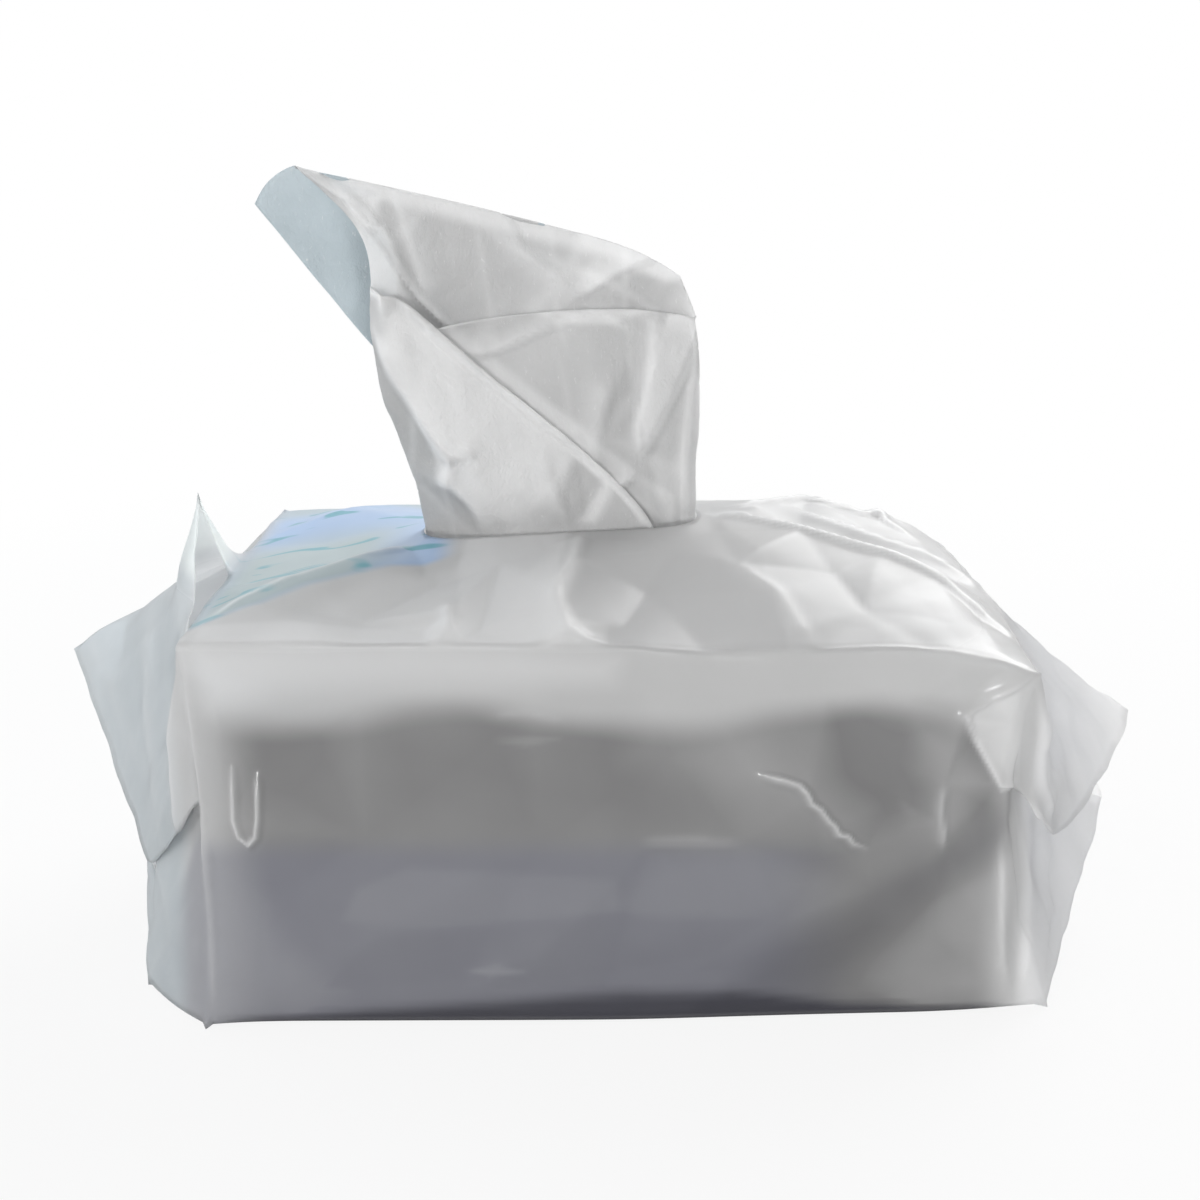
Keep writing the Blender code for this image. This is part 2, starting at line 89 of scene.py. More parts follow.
def colour_setting(name, description, default):
    return FloatVectorProperty(name=name, description=description, default=default, min=0.0, max=1.0,
                               subtype="COLOR")


def glow_setting(description, default):
    return FloatProperty(name="Glow", description=description, default=default, min=0.0, max=1.0,
                         subtype="FACTOR")


def thickness_setting(description, default, low, high):
    return FloatProperty(name="Thickness", description=description, default=default, min=low, max=high,
                         precision=5, unit="LENGTH")


def count_setting(name, description, default, low, high):
    return IntProperty(name=name, description=description, default=default, min=low, max=high)


class FilmSettings(bpy.types.PropertyGroup):
    thickness: thickness_setting("Thickness of the film", 0.00012, 0.00002, 0.001)
    colour: colour_setting("Colour", "Milky tone of the film", (0.62, 0.62, 0.618))
    # Painted shade: the shade of the stack seen on the film's sides, drawn as a darker tone
    shade: colour_setting("Shade", "Tone where the damp stack lies against the film", (0.165, 0.163, 0.165))
    # Painted reflection: a cool sheen drawn into the colour of the lower sides
    cast: colour_setting("Cast", "Cool tone of the lower sides", (0.195, 0.200, 0.25))
    tint: colour_setting("Field", "Pale field near the slot", (0.34, 0.50, 0.75))
    glow: glow_setting("Share of light that passes through, scattered", 0.55)
    detail: count_setting("Detail", "Subdivision of the film's surface", 3, 1, 4)


class WipeSettings(bpy.types.PropertyGroup):
    thickness: thickness_setting("Thickness of one wipe", 0.0004, 0.0001, 0.002)
    colour: colour_setting("Colour", "Tone of the damp fabric", (0.63, 0.63, 0.63))
    # Painted shade and reflection: a darker, bluer copy of the fabric's tone for the corner turned back
    turned: colour_setting("Turned", "Tone of the corner that is turned back", (0.48, 0.56, 0.60))
    glow: glow_setting("Share of light that passes through the fabric", 0.28)
    detail: count_setting("Detail", "Subdivision of the drawn wipe", 4, 1, 5)


class StackSettings(bpy.types.PropertyGroup):
    layers: count_setting("Layers", "Folded layers that show at the sides", 34, 6, 80)
    colour: colour_setting("Colour", "Tone of the stacked wipes", (0.62, 0.63, 0.66))


class StageSettings(bpy.types.PropertyGroup):
    lens: FloatProperty(name="Lens", description="Focal length of the camera in millimetres", default=42.0,
                        min=20.0, max=120.0)
    pitch: FloatProperty(name="Pitch", description="How far the camera looks down",
                         default=math.radians(18.5), subtype="ANGLE")
    floor: colour_setting("Floor", "Tone of the floor", (0.60, 0.60, 0.60))


# Fixed tones of the finishes

WHITE = (1.0, 1.0, 1.0)
THROUGH = (0.93, 0.93, 0.93)
# Painted light: the tone that lit patches of the film move toward
PAINTED_LIGHT_FILM = (0.84, 0.84, 0.84)
DEEP_SHADE = (0.04, 0.04, 0.055)
# Painted shadow: the dark line where the film meets the floor
BASE_SHADOW_LINE = (0.03, 0.03, 0.045)
LEFT_FLAPS = (0.53, 0.59, 0.62)
# Painted light: the right flaps drawn near white, as lit from behind
LIT_RIGHT_FLAPS = (0.97, 0.97, 0.97)
GREY_FIELD = (0.42, 0.48, 0.46)
STROKES = (0.10, 0.36, 0.42)
# Painted highlight: the tone of the film's creases
CREASE_HIGHLIGHT = (0.90, 0.90, 0.90)
# Painted light: the ear at the top left drawn near white, as lit from behind
LIT_EAR = (0.90, 0.95, 0.93)
FIBRES = (0.95, 0.95, 0.95)
# Painted light: the tone of lit patches and creases of the wipe
LIT_FABRIC = (0.97, 0.97, 0.97)
FRONT_SKY = (0.38, 0.38, 0.38)
BACK_SKY = (0.60, 0.60, 0.60)


# Shader maths

class Wire:
    """A socket that takes part in arithmetic; each operation adds a Math node."""

    def __init__(self, finish, socket):
        self.finish = finish
        self.socket = socket

    def math(self, operation, *others, clamp=False):
        node = self.finish.tree.nodes.new("ShaderNodeMath")
        node.operation = operation
        node.use_clamp = clamp
        for socket, value in zip(node.inputs, others):
            self.finish.feed(socket, value)
        return Wire(self.finish, node.outputs[0])

    def __add__(self, other):
        return self.math("ADD", self, other)

    def __radd__(self, other):
        return self.math("ADD", other, self)

    def __sub__(self, other):
        return self.math("SUBTRACT", self, other)

    def __rsub__(self, other):
        return self.math("SUBTRACT", other, self)

    def __mul__(self, other):
        return self.math("MULTIPLY", self, other)

    def __rmul__(self, other):
        return self.math("MULTIPLY", other, self)

    def __truediv__(self, other):
        return self.math("DIVIDE", self, other)

    def absolute(self):
        return self.math("ABSOLUTE", self)

    def cosine(self):
        return self.math("COSINE", self)

    def clamped(self):
        return self.math("ADD", self, 0.0, clamp=True)

    def step(self, low, high):
        """0 below low, 1 above high, smooth between."""
        node = self.finish.node("ShaderNodeMapRange", {"interpolation_type": "SMOOTHSTEP"},
                                {"Value": self, "From Min": low, "From Max": high})
        return node["Result"]


class Outputs:
    def __init__(self, finish, node):
        self.finish = finish
        self.node = node

    def __getitem__(self, name):
        return Wire(self.finish, self.node.outputs[name])


class Finish:
    """One material: its tree and the ways to add to it."""

    def __init__(self, name, world=None):
        self.material = None
        if world:
            self.tree = world.node_tree
        else:
            self.material = bpy.data.materials.new(name)
            self.material.use_nodes = True
            self.tree = self.material.node_tree
        self.tree.nodes.clear()

    def feed(self, socket, value):
        if isinstance(value, Wire):
            self.tree.links.new(value.socket, socket)
        elif hasattr(value, "__len__") and len(value) == 3 and socket.type == "RGBA":
            socket.default_value = (*value, 1.0)
        else:
            socket.default_value = value

    def node(self, kind, settings=None, values=None):
        """A node of a kind, with its settings set before its sockets' values and links."""
        node = self.tree.nodes.new(kind)
        for key, value in (settings or {}).items():
            setattr(node, key, value)
        for key, value in (values or {}).items():
            self.feed(node.inputs[key], value)
        return Outputs(self, node)

    def tint(self, factor, first, second):
        node = self.node("ShaderNodeMix", {"data_type": "RGBA"}, {0: factor, 6: first, 7: second})
        return Wire(self, node.node.outputs[2])

    def kept(self, name):
        """A number that the mesh stores at each point."""
        return self.node("ShaderNodeAttribute", {"attribute_name": name})["Fac"]

    def shades(self):
        """How far each point is lightened and darkened by the painted light and shade kept on the mesh."""
        shade = self.kept("shade") * 2.0 - 1.0
        return shade.clamped(), (0.0 - shade).clamped()

    def place(self, kind="Object"):
        """Coordinates of one kind: a point in metres, or the direction from the middle of the sky."""
        return self.node("ShaderNodeTexCoord")[kind]

    def parts(self, point):
        split = self.node("ShaderNodeSeparateXYZ", None, {0: point})
        return split["X"], split["Y"], split["Z"]

    def scaled(self, point, scale):
        return self.node("ShaderNodeVectorMath", {"operation": "MULTIPLY"}, {0: point, 1: scale})["Vector"]

    def mottle(self, point, scale, detail, rough=0.5, distort=0.0):
        return self.node("ShaderNodeTexNoise", None, {"Vector": point, "Scale": scale, "Detail": detail,
                                                      "Roughness": rough, "Distortion": distort})["Fac"]

    def bump(self, strength, distance, height):
        return self.node("ShaderNodeBump", None, {"Strength": strength, "Distance": distance,
                                                  "Height": height})["Normal"]

    def skin(self, values):
        return self.node("ShaderNodeBsdfPrincipled", None, values)["BSDF"]

    def through(self, normal):
        """Light from the far side, scattered by thin film or fabric."""
        return self.node("ShaderNodeBsdfTranslucent", None, {"Color": THROUGH, "Normal": normal})["BSDF"]

    def mixed(self, share, first, second):
        return self.node("ShaderNodeMixShader", None, {0: share, 1: first, 2: second})["Shader"]

    def end(self, shader):
        out = self.node("ShaderNodeOutputMaterial")
        self.tree.links.new(shader.socket, out.node.inputs["Surface"])
        return self.material


# Places of the film's masks, in metres along one axis: where each begins and where it is full
SIDES = (0.050, 0.055)
BEHIND_LEFT, BEHIND_RIGHT, BEHIND_TOP = (-0.102, -0.081), (0.081, 0.094), (0.071, 0.081)
SHEEN_TOP, SHEEN_RIGHT = (0.040, 0.048), (0.030, 0.056)
BASE_SHADOW_TOP = (0.001, 0.004)
TOP_PANEL = (0.088, 0.092)
FIELD_EDGE, FIELD_LEFT, FIELD_RIGHT, FIELD_SLANT = (0.0050, 0.0085), (-0.104, -0.094), (-0.048, -0.040), 0.56
GREY_RIGHT, GREY_BACK, GREY_REAR = (-0.068, -0.050), (0.002, 0.024), (0.036, 0.050)
LEFT_FLAP, RIGHT_FLAP = (-0.108, -0.101), (0.092, 0.098)
EAR_FOOT, EAR_RIGHT = (0.094, 0.098), (-0.101, -0.099)


def film_finish(settings):
    """Milky glossy film: scattered light through it, painted shade where the stack stands behind its sides,
    painted light, shade and highlights elsewhere, and a pale field beside the slot."""
    finish = Finish("milky_film")
    point = finish.place()
    x, y, z = finish.parts(point)
    cloud = finish.mottle(point, 24.0, 1.0)
    folds = finish.mottle(point, 60.0, 1.0, 0.45, 0.8)
    lift = finish.kept("lift")
    # Painted highlights along the creases, kept at each point
    crease = finish.kept("crease")
    # Painted light and shade kept on the mesh: pale lightens, dark darkens
    pale, dark = finish.shades()

    # Masks: the painted shade of the stack behind the sides, the painted cool sheen low on them, the painted
    # shadow line at the base, the field, and the ends with painted light on the right one and the ear
    waves = ((x + 0.036) / 0.015).cosine()
    rim = z + (cloud - 0.5) * 0.010 - waves * 0.002
    sides = y.absolute().step(*SIDES)
    between = x.step(*BEHIND_LEFT) * (1.0 - x.step(*BEHIND_RIGHT))
    # Painted shade of the stack behind the sides, lighter where the film lifts away from it
    behind = (1.0 - rim.step(*BEHIND_TOP)) * between * sides * (1.12 - lift * 0.75).clamped()
    # Painted reflection: the cool sheen low on the sides
    low = (1.0 - z.step(*SHEEN_TOP)) * sides * (1.0 - x.step(*SHEEN_RIGHT))
    # Painted shadow line along the foot of the sides
    base = behind * (1.0 - z.step(*BASE_SHADOW_TOP))
    field = (y - x * FIELD_SLANT).step(*FIELD_EDGE) * (1.0 - x.step(*FIELD_RIGHT)) * z.step(*TOP_PANEL)
    field = field * x.step(*FIELD_LEFT)
    long_point = finish.scaled(point, (0.25, 1.0, 1.0))
    strokes = finish.mottle(long_point, 170.0, 1.0, 0.4, 0.8).step(0.6, 0.66)
    grey = (1.0 - x.step(*GREY_RIGHT)) * (1.0 - y.step(*GREY_BACK)) + y.step(*GREY_REAR) * 0.8
    left_end = 1.0 - x.step(*LEFT_FLAP)
    # Painted light on the right flaps, which also let more light through
    lit_right_end = x.step(*RIGHT_FLAP)
    # Painted light on the ear
    ear = z.step(*EAR_FOOT) * (1.0 - x.step(*EAR_RIGHT))

    tone = settings.colour
    for share, colour in (
            (cloud.step(0.3, 0.7) * 0.4, [c * 0.94 for c in settings.colour]), (behind * 0.9, settings.shade),
            (low * 0.6, settings.cast), (pale, PAINTED_LIGHT_FILM), (dark, DEEP_SHADE), (base * 0.8, BASE_SHADOW_LINE),
            (left_end * 0.8, LEFT_FLAPS), (lit_right_end * 0.9, LIT_RIGHT_FLAPS),
            (field * (0.6 + cloud * 0.4), settings.tint), (field * grey * 0.85, GREY_FIELD),
            (field * strokes * 0.85, STROKES), (crease * 0.75, CREASE_HIGHLIGHT), (ear * 0.7, LIT_EAR)):
        tone = finish.tint(share, tone, colour)
    bump = finish.bump(0.3, 0.0006, folds * 1.2 + crease * 0.8)
    skin = finish.skin({"Base Color": tone, "Roughness": 0.14 + cloud * 0.1 + z.step(0.088, 0.094) * 0.14,
                        "IOR": 1.5, "Specular IOR Level": 0.6, "Normal": bump})
    share = settings.glow - field * 0.35 - behind * 0.4 + lit_right_end * 0.4 + pale * 0.1
    return finish.end(finish.mixed(share, skin, finish.through(bump)))


def fabric_finish(name, colour, glow, layered=False):
    """Damp non-woven fabric: fine crossed fibres, soft mottling and light through it. A layered one also
    takes painted light and shade, lighter or darker, for the panels that lie behind it and for its folds."""
    finish = Finish(name)
    point = finish.place()
    wet = finish.mottle(point, 26.0, 3.0, 0.55, 0.4)
    fibres = finish.mottle(finish.scaled(point, (1.0, 1.0, 0.4)), 1300.0, 2.0, 0.7, 0.8)
    crumple = finish.mottle(point, 170.0, 3.0, 0.6, 0.6)
    damp = wet.step(0.38, 0.66)
    # Painted highlights along the creases
    crease = finish.kept("crease")
    tone = finish.tint(damp * 0.6, colour, [c * 0.84 for c in colour])
    tone = finish.tint(fibres.step(0.62, 0.78) * 0.5, tone, FIBRES)
    lit = 0.0
    if layered:
        # Painted light and shade; the painted light also lets more light through
        pale, dark = finish.shades()
        lit = (pale - 0.6).clamped() * 0.8
        tone = finish.tint(pale, tone, LIT_FABRIC)
        tone = finish.tint(dark, tone, [c * 0.55 for c in colour])
    tone = finish.tint(crease * 0.85, tone, LIT_FABRIC)
    bump = finish.bump(0.6, 0.0006, fibres * 0.5 + crumple * 1.6)
    skin = finish.skin({"Base Color": tone, "Roughness": 0.55 + wet * 0.3, "Normal": bump})
    share = glow - damp * 0.12 + crease * 0.2 + lit
    return finish.end(finish.mixed(share, skin, finish.through(bump)))


def stack_finish(settings):
    """The stacked fabric, seen from its folds and cut edges."""
    finish = Finish("stacked_fabric")
    point = finish.place()
    layers = finish.mottle(finish.scaled(point, (0.06, 0.06, 1.0)), 420.0, 2.0, 0.6)
    wet = finish.mottle(point, 30.0, 3.0, 0.5)
    tone = finish.tint(layers.step(0.35, 0.65) * 0.6, settings.colour, [c * 0.82 for c in settings.colour])
    tone = finish.tint(wet.step(0.4, 0.7) * 0.4, tone, [c * 0.86 for c in settings.colour])
    bump = finish.bump(0.5, 0.0008, layers)
    return finish.end(finish.skin({"Base Color": tone, "Roughness": 0.7 + wet * 0.2, "Normal": bump}))


# Cages and surfaces

def blend(start, end, share):
    return start + (end - start) * share


def along(points, x):
    """Value at x on a line of (x, value) points."""
    for (x0, z0), (x1, z1) in zip(points, points[1:]):
        if x <= x1:
            return blend(z0, z1, max(0.0, (x - x0) / (x1 - x0)))
    return points[-1][1]


def new_object(name, data):
    thing = bpy.data.objects.new(name, data)
    bpy.context.scene.collection.objects.link(thing)
    return thing


class Cage:
    """Corner points and four-sided faces that a subdivision surface smooths."""

    def __init__(self):
        self.mesh = bmesh.new()
        self.crease = self.mesh.edges.layers.float.new("crease_edge")
        self.point = self.mesh.verts.layers.float.new("crease_vert")

    def grid(self, rows, closed=False, skip=None):
        net = [[self.mesh.verts.new([c * MM for c in point]) for point in row] for row in rows]
        count = len(rows[0])
        for i in range(len(rows) - 1):
            for j in range(count if closed else count - 1):
                k = (j + 1) % count
                if not (skip and skip(i, j)):
                    self.mesh.faces.new((net[i][j], net[i][k], net[i + 1][k], net[i + 1][j]))
        return net

    def sharpen(self, points, value):
        for first, second in zip(points, points[1:]):
            edge = self.mesh.edges.get((first, second))
            if edge:
                edge[self.crease] = value

    def pin(self, corners):
        for corner in corners:
            corner[self.point] = 1.0

    def merge(self):
        bmesh.ops.remove_doubles(self.mesh, verts=self.mesh.verts, dist=MERGE)

    def find(self, point):
        return min(self.mesh.verts, key=lambda v: sum((v.co[i] - point[i] * MM) ** 2 for i in range(3)))

    def surface(self, name, levels):
        """The smoothed surface as a mesh of its own."""
        self.merge()
        loose = [vert for vert in self.mesh.verts if not vert.link_faces]
        bmesh.ops.delete(self.mesh, geom=loose, context="VERTS")
        bmesh.ops.recalc_face_normals(self.mesh, faces=self.mesh.faces)
        data = bpy.data.meshes.new(name)
        self.mesh.to_mesh(data)
        self.mesh.free()
        cage = new_object(name + "_cage", data)
        smooth = cage.modifiers.new("smooth", "SUBSURF")
        smooth.levels = levels
        smooth.render_levels = levels
        graph = bpy.context.evaluated_depsgraph_get()
        result = bpy.data.meshes.new_from_object(cage.evaluated_get(graph))
        bpy.data.objects.remove(cage)
        bpy.data.meshes.remove(data)
        result.name = name
        return result


def points_of(mesh):
    """Points in millimetres and unit normals, as arrays."""
    count = len(mesh.vertices)
    points = np.empty(count * 3)
    normals = np.empty(count * 3)
    mesh.vertices.foreach_get("co", points)
    mesh.vertices.foreach_get("normal", normals)
    return points.reshape(-1, 3) / MM, normals.reshape(-1, 3)


def write_points(mesh, points):
    mesh.vertices.foreach_set("co", (points * MM).ravel())
    mesh.update()


def keep_values(mesh, name, values):
    """Store one number a point, for the material to read."""
    layer = mesh.attributes.new(name, "FLOAT", "POINT")
    layer.data.foreach_set("value", np.clip(values, 0.0, 1.0))


def rolling(points, size, seed, octaves=2):
    """Soft noise at each point, about -1 to 1."""
    shift = Vector((seed * 17.3, seed * 5.1, seed * 9.7))
    values = [noise.fractal(Vector(p) / size + shift, 0.7, 2.1, octaves) for p in points]
    return np.clip(np.array(values), -1.2, 1.2)


def step(values, low, high):
    """0 below low, 1 above high, smooth between."""
    t = np.clip((values - low) / (high - low), 0.0, 1.0)
    return t * t * (3 - 2 * t)


def fold_line(flat, line, height, width, side=0):
    """A crease along a line of points in the plane of flat. With side 1 or -1 it slopes away gently to the
    left or right of the line's direction, and falls off sharply on the other side."""
    best = np.full(len(flat), 1e9)
    travel = np.zeros(len(flat))
    turn = np.zeros(len(flat))
    line = np.array(line, float)
    lengths = np.linalg.norm(line[1:] - line[:-1], axis=1)
    done = 0.0
    for start, end, length in zip(line[:-1], line[1:], lengths):
        run = end - start
        t = np.clip(((flat - start) @ run) / (length * length), 0.0, 1.0)
        gap = np.linalg.norm(flat - (start + t[:, None] * run), axis=1)
        near = gap < best
        best = np.where(near, gap, best)
        travel = np.where(near, (done + t * length) / lengths.sum(), travel)
        turn = np.where(near, run[0] * (flat[:, 1] - start[1]) - run[1] * (flat[:, 0] - start[0]), turn)
        done += length
    reach = np.where(turn * side < 0, width * 0.3, width)
    shape = np.clip(1.0 - best / reach, 0.0, 1.0) ** (1.3 if side else 2.0)
    return height * shape * np.clip(np.minimum(travel, 1.0 - travel) * 6.0 + 0.25, 0.0, 1.0)


def patch(flat, outline, soft):
    """1 inside an outline in the plane of flat and 0 outside, fading over a soft edge."""
    spots = np.array(outline, float)
    inside = np.zeros(len(flat), bool)
    gap = np.full(len(flat), 1e9)
    for start, end in zip(spots, np.roll(spots, -1, axis=0)):
        run = end - start
        t = np.clip(((flat - start) @ run) / (run @ run), 0.0, 1.0)
        gap = np.minimum(gap, np.linalg.norm(flat - (start + t[:, None] * run), axis=1))
        crosses = (start[1] > flat[:, 1]) != (end[1] > flat[:, 1])
        meets = start[0] + (flat[:, 1] - start[1]) * run[0] / (run[1] or 1e-9)
        inside ^= crosses & (flat[:, 0] < meets)
    return step(np.where(inside, gap, -gap), -soft, soft)


def shade_field(flat, table):
    """Painted light and shade: sum of the soft areas of a table, each an outline, the softness of its edge and
    its strength.
    """
    return sum(strength * patch(flat, outline, soft) for outline, soft, strength in table)


def new_piece(name, mesh, material, node, thickness=None):
    """A smooth piece on the body that stands for one node, with a wall round it if it is a sheet."""
    for face in mesh.polygons:
        face.use_smooth = True
    mesh.materials.clear()
    mesh.materials.append(material)
    piece = new_object(name, mesh)
    if thickness:
        wall = piece.modifiers.new("wall", "SOLIDIFY")
        wall.thickness = thickness
        wall.offset = 0.0
    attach(piece, BODY)
    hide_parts(node)
    return piece


# Heights of the pack's upper edges and of its tented top

FRONT_EDGE_DROP = [
    (-1, 0), (0, 0), (0.2, 2.4), (0.33, 3.6), (0.5, 0.6), (0.68, 0.2), (0.86, 2.4), (1, 8)]
FRONT_FOOT = [
    (-1, 8), (0, 7.4), (0.5, 5), (1, 3.4)]
BACK_EDGE_RISE = [
    (-1, 0.7), (-0.4, 2), (0.38, 3.8), (0.73, 1.2), (0.9, -3.8), (1, -4.5)]


def end_share(x):
    return x / BODY_RIGHT if x > 0 else -x / BODY_LEFT


def front_edge(x):
    return TOP_EDGE - along(FRONT_EDGE_DROP, end_share(x))


def back_edge(x):
    return TOP_EDGE + along(BACK_EDGE_RISE, end_share(x))


def roof(x, y):
    """Height of the top panel, drawn up like a hipped roof to the slot."""
    edge = blend(front_edge(x), back_edge(x), (y + HALF_DEPTH) / (2 * HALF_DEPTH))
    share = min(1.0, max(0.0, (x - SLOT_LEFT) / SLOT_LENGTH))
    lip = TOP_EDGE + blend(LIP_LEFT, LIP_RIGHT, share)
    slopes = ((y + HALF_DEPTH) / (SLOT_FRONT + HALF_DEPTH), (HALF_DEPTH - y) / (HALF_DEPTH - SLOT_BACK),
              (x - BODY_LEFT) / (SLOT_LEFT - BODY_LEFT), (BODY_RIGHT - x) / (BODY_RIGHT - SLOT_RIGHT))
    return blend(edge, lip, min(1.0, max(0.0, min(slopes))))


def stack_top(x):
    share = min(1.0, max(0.0, (x + STACK_LENGTH / 2) / STACK_LENGTH))
    return STACK_HEIGHT - STACK_SAG * share * share * (3 - 2 * share)


# Film. Each row of an end flap is (out past the end, share of the half depth, share of the height) at
# every station round the tube: front bottom edge, front, top, back, base.

LEFT_NEAR = [
    (9, -1.04, 0), (3, -1, 0.27), (-1, -0.92, 0.55), (-0.4, -0.97, 0.58), (0.8, -0.985, 0.76),
    (1.6, -0.97, 0.935), (2.7, -0.7, 0.945), (4.9, -0.46, 0.93), (9.4, 0, 1.22), (5, 0.26, 0.955),
    (5.5, 0.46, 0.94), (3, 0.91, 0.965), (2, 0.95, 0.785), (0, 0.965, 0.6), (-0.5, 0.91, 0.55), (2, 1, 0.28),
    (7, 0.95, 0), (11, 0.35, 0), (11, -0.4, 0)]
LEFT_MIDDLE = [
    (18, -0.87, 0.01), (10, -0.92, 0.25), (3.5, -0.81, 0.525), (3.8, -0.93, 0.505), (4.4, -0.935, 0.645),
    (4.8, -0.935, 0.775), (7, -0.7, 0.85), (10, -0.44, 0.89), (15.5, -0.05, 0.965), (19, 0.16, 0.955),
    (18.5, 0.35, 0.9), (14, 0.65, 0.87), (10, 0.81, 0.71), (6, 0.88, 0.58), (5, 0.77, 0.55), (9, 0.9, 0.27),
    (16, 0.81, 0.04), (23.5, 0.32, 0.06), (23.5, -0.44, 0.03)]
LEFT_LOW = [
    (20.5, -0.73, 0.13), (15, -0.77, 0.29), (10, -0.67, 0.485), (9.5, -0.84, 0.415), (8.3, -0.87, 0.475),
    (7.6, -0.885, 0.54), (12, -0.7, 0.6), (16.5, -0.53, 0.665), (24, -0.27, 0.765), (30, -0.02, 0.85),
    (32, 0.16, 0.865), (33, 0.33, 0.84), (25, 0.53, 0.72), (17, 0.65, 0.61), (12, 0.58, 0.56),
    (13, 0.72, 0.39), (16, 0.7, 0.26), (24.5, 0.25, 0.32), (25.5, -0.44, 0.2)]
LEFT_FREE = [
    (16.5, -0.675, 0.265), (16.3, -0.58, 0.35), (16, -0.42, 0.475), (17, -0.69, 0.318), (17.9, -0.674, 0.313),
    (18.7, -0.658, 0.308), (22.6, -0.56, 0.366), (26.3, -0.47, 0.42), (33, -0.3, 0.532), (38.5, -0.16, 0.613),
    (43.5, -0.026, 0.688), (47.5, 0.088, 0.735), (42, 0.16, 0.695), (35, 0.26, 0.655), (21, 0.3, 0.6),
    (18, 0.44, 0.55), (14, 0.56, 0.495), (24, 0.21, 0.54), (25, -0.42, 0.365)]
RIGHT_NEAR = [
    (11.5, -0.96, 0.03), (1, -0.98, 0.285), (-3.9, -0.94, 0.605), (-3.6, -0.965, 0.625), (-2.5, -0.96, 0.75),
    (1.6, -0.935, 0.85), (1.8, -0.69, 0.885), (2.2, -0.42, 0.9), (2.6, -0.15, 0.915), (2.6, 0.21, 0.92),
    (2, 0.54, 0.91), (0, 0.83, 0.89), (0.2, 0.93, 0.77), (0.2, 0.965, 0.64), (-0.4, 0.94, 0.6),
    (3, 0.98, 0.29), (8.5, 0.97, 0.02), (10.5, 0.35, 0.03), (10.5, -0.33, 0.03)]
RIGHT_MIDDLE = [
    (14.5, -0.84, 0.075), (4.5, -0.88, 0.29), (0, -0.79, 0.61), (0.5, -0.91, 0.575), (2, -0.905, 0.655),
    (4, -0.885, 0.74), (4.8, -0.67, 0.8), (6.5, -0.42, 0.83), (9, -0.14, 0.85), (11.5, 0.175, 0.84),
    (12.5, 0.44, 0.8), (10.5, 0.67, 0.74), (7.5, 0.81, 0.68), (3.5, 0.88, 0.6), (1.5, 0.79, 0.58),
    (6.5, 0.88, 0.3), (13.5, 0.81, 0.085), (17.5, 0.35, 0.12), (17.5, -0.32, 0.12)]
RIGHT_LOW = [
    (23, -0.58, 0.195), (13, -0.68, 0.31), (9, -0.63, 0.56), (6.5, -0.815, 0.485), (7, -0.79, 0.515),
    (8, -0.765, 0.55), (12.5, -0.6, 0.6), (16.5, -0.43, 0.635), (22, -0.21, 0.665), (26.5, 0.02, 0.675),
    (29, 0.23, 0.655), (29, 0.42, 0.62), (23, 0.54, 0.585), (16, 0.65, 0.55), (11, 0.58, 0.535),
    (15, 0.68, 0.32), (21, 0.63, 0.215), (27, 0.28, 0.235), (26.5, -0.21, 0.235)]
RIGHT_FREE = [
    (35, -0.19, 0.35), (24, -0.28, 0.43), (18, -0.35, 0.505), (14, -0.63, 0.376), (14.8, -0.614, 0.371),
    (15.5, -0.596, 0.367), (20, -0.51, 0.371), (24.6, -0.42, 0.38), (32, -0.27, 0.41), (38.3, -0.105, 0.446),
    (43, 0.02, 0.495), (46, 0.115, 0.537), (42, 0.185, 0.527), (37, 0.255, 0.516), (24, 0.265, 0.505),
    (24, 0.385, 0.43), (30, 0.42, 0.387), (36, 0.21, 0.376), (36.5, -0.05, 0.365)]

LEFT_END = [
    (-0.5, -1.165, 0), (-1.8, -1.025, 0.29), (-1.4, -1, 0.565), (-1.4, -1, 0.613), (-1.2, -1, 0.8),
    (0, -1, 1), (0.2, -0.7, 1.003), (0.4, -0.42, 1.005), (0.6, -0.16, 1.007), (0.8, 0.25, 1.008),
    (0.8, 0.6, 1.008), (0.8, 1, 1.008), (-1, 1, 0.81), (-3, 1, 0.613), (-3, 1, 0.565), (-2, 1.02, 0.29),
    (-1, 1.05, 0), (-1, 0.35, 0), (-1, -0.35, 0)]
RIGHT_END = [
    (9.7, -1.01, 0), (-1.8, -1.01, 0.29), (-5.2, -1, 0.6), (-5.4, -1, 0.645), (-5.5, -0.99, 0.785),
    (0.3, -0.965, 0.917), (0.6, -0.7, 0.921), (0.8, -0.42, 0.925), (0.6, -0.16, 0.935), (-0.5, 0.23, 0.946),
    (-2, 0.58, 0.949), (-5.5, 0.895, 0.953), (-3, 0.98, 0.796), (-2, 1, 0.645), (-2, 1, 0.6), (1, 1.02, 0.29),
    (7, 1.02, 0), (7, 0.35, 0), (7, -0.35, 0)]


def end_row(table, left):
    """Points of one row of an end flap, from its table."""
    return [(BODY_LEFT - out if left else BODY_RIGHT + out, depth_share * HALF_DEPTH,
             FLOOR + height_share * (TOP_EDGE - FLOOR)) for out, depth_share, height_share in table]


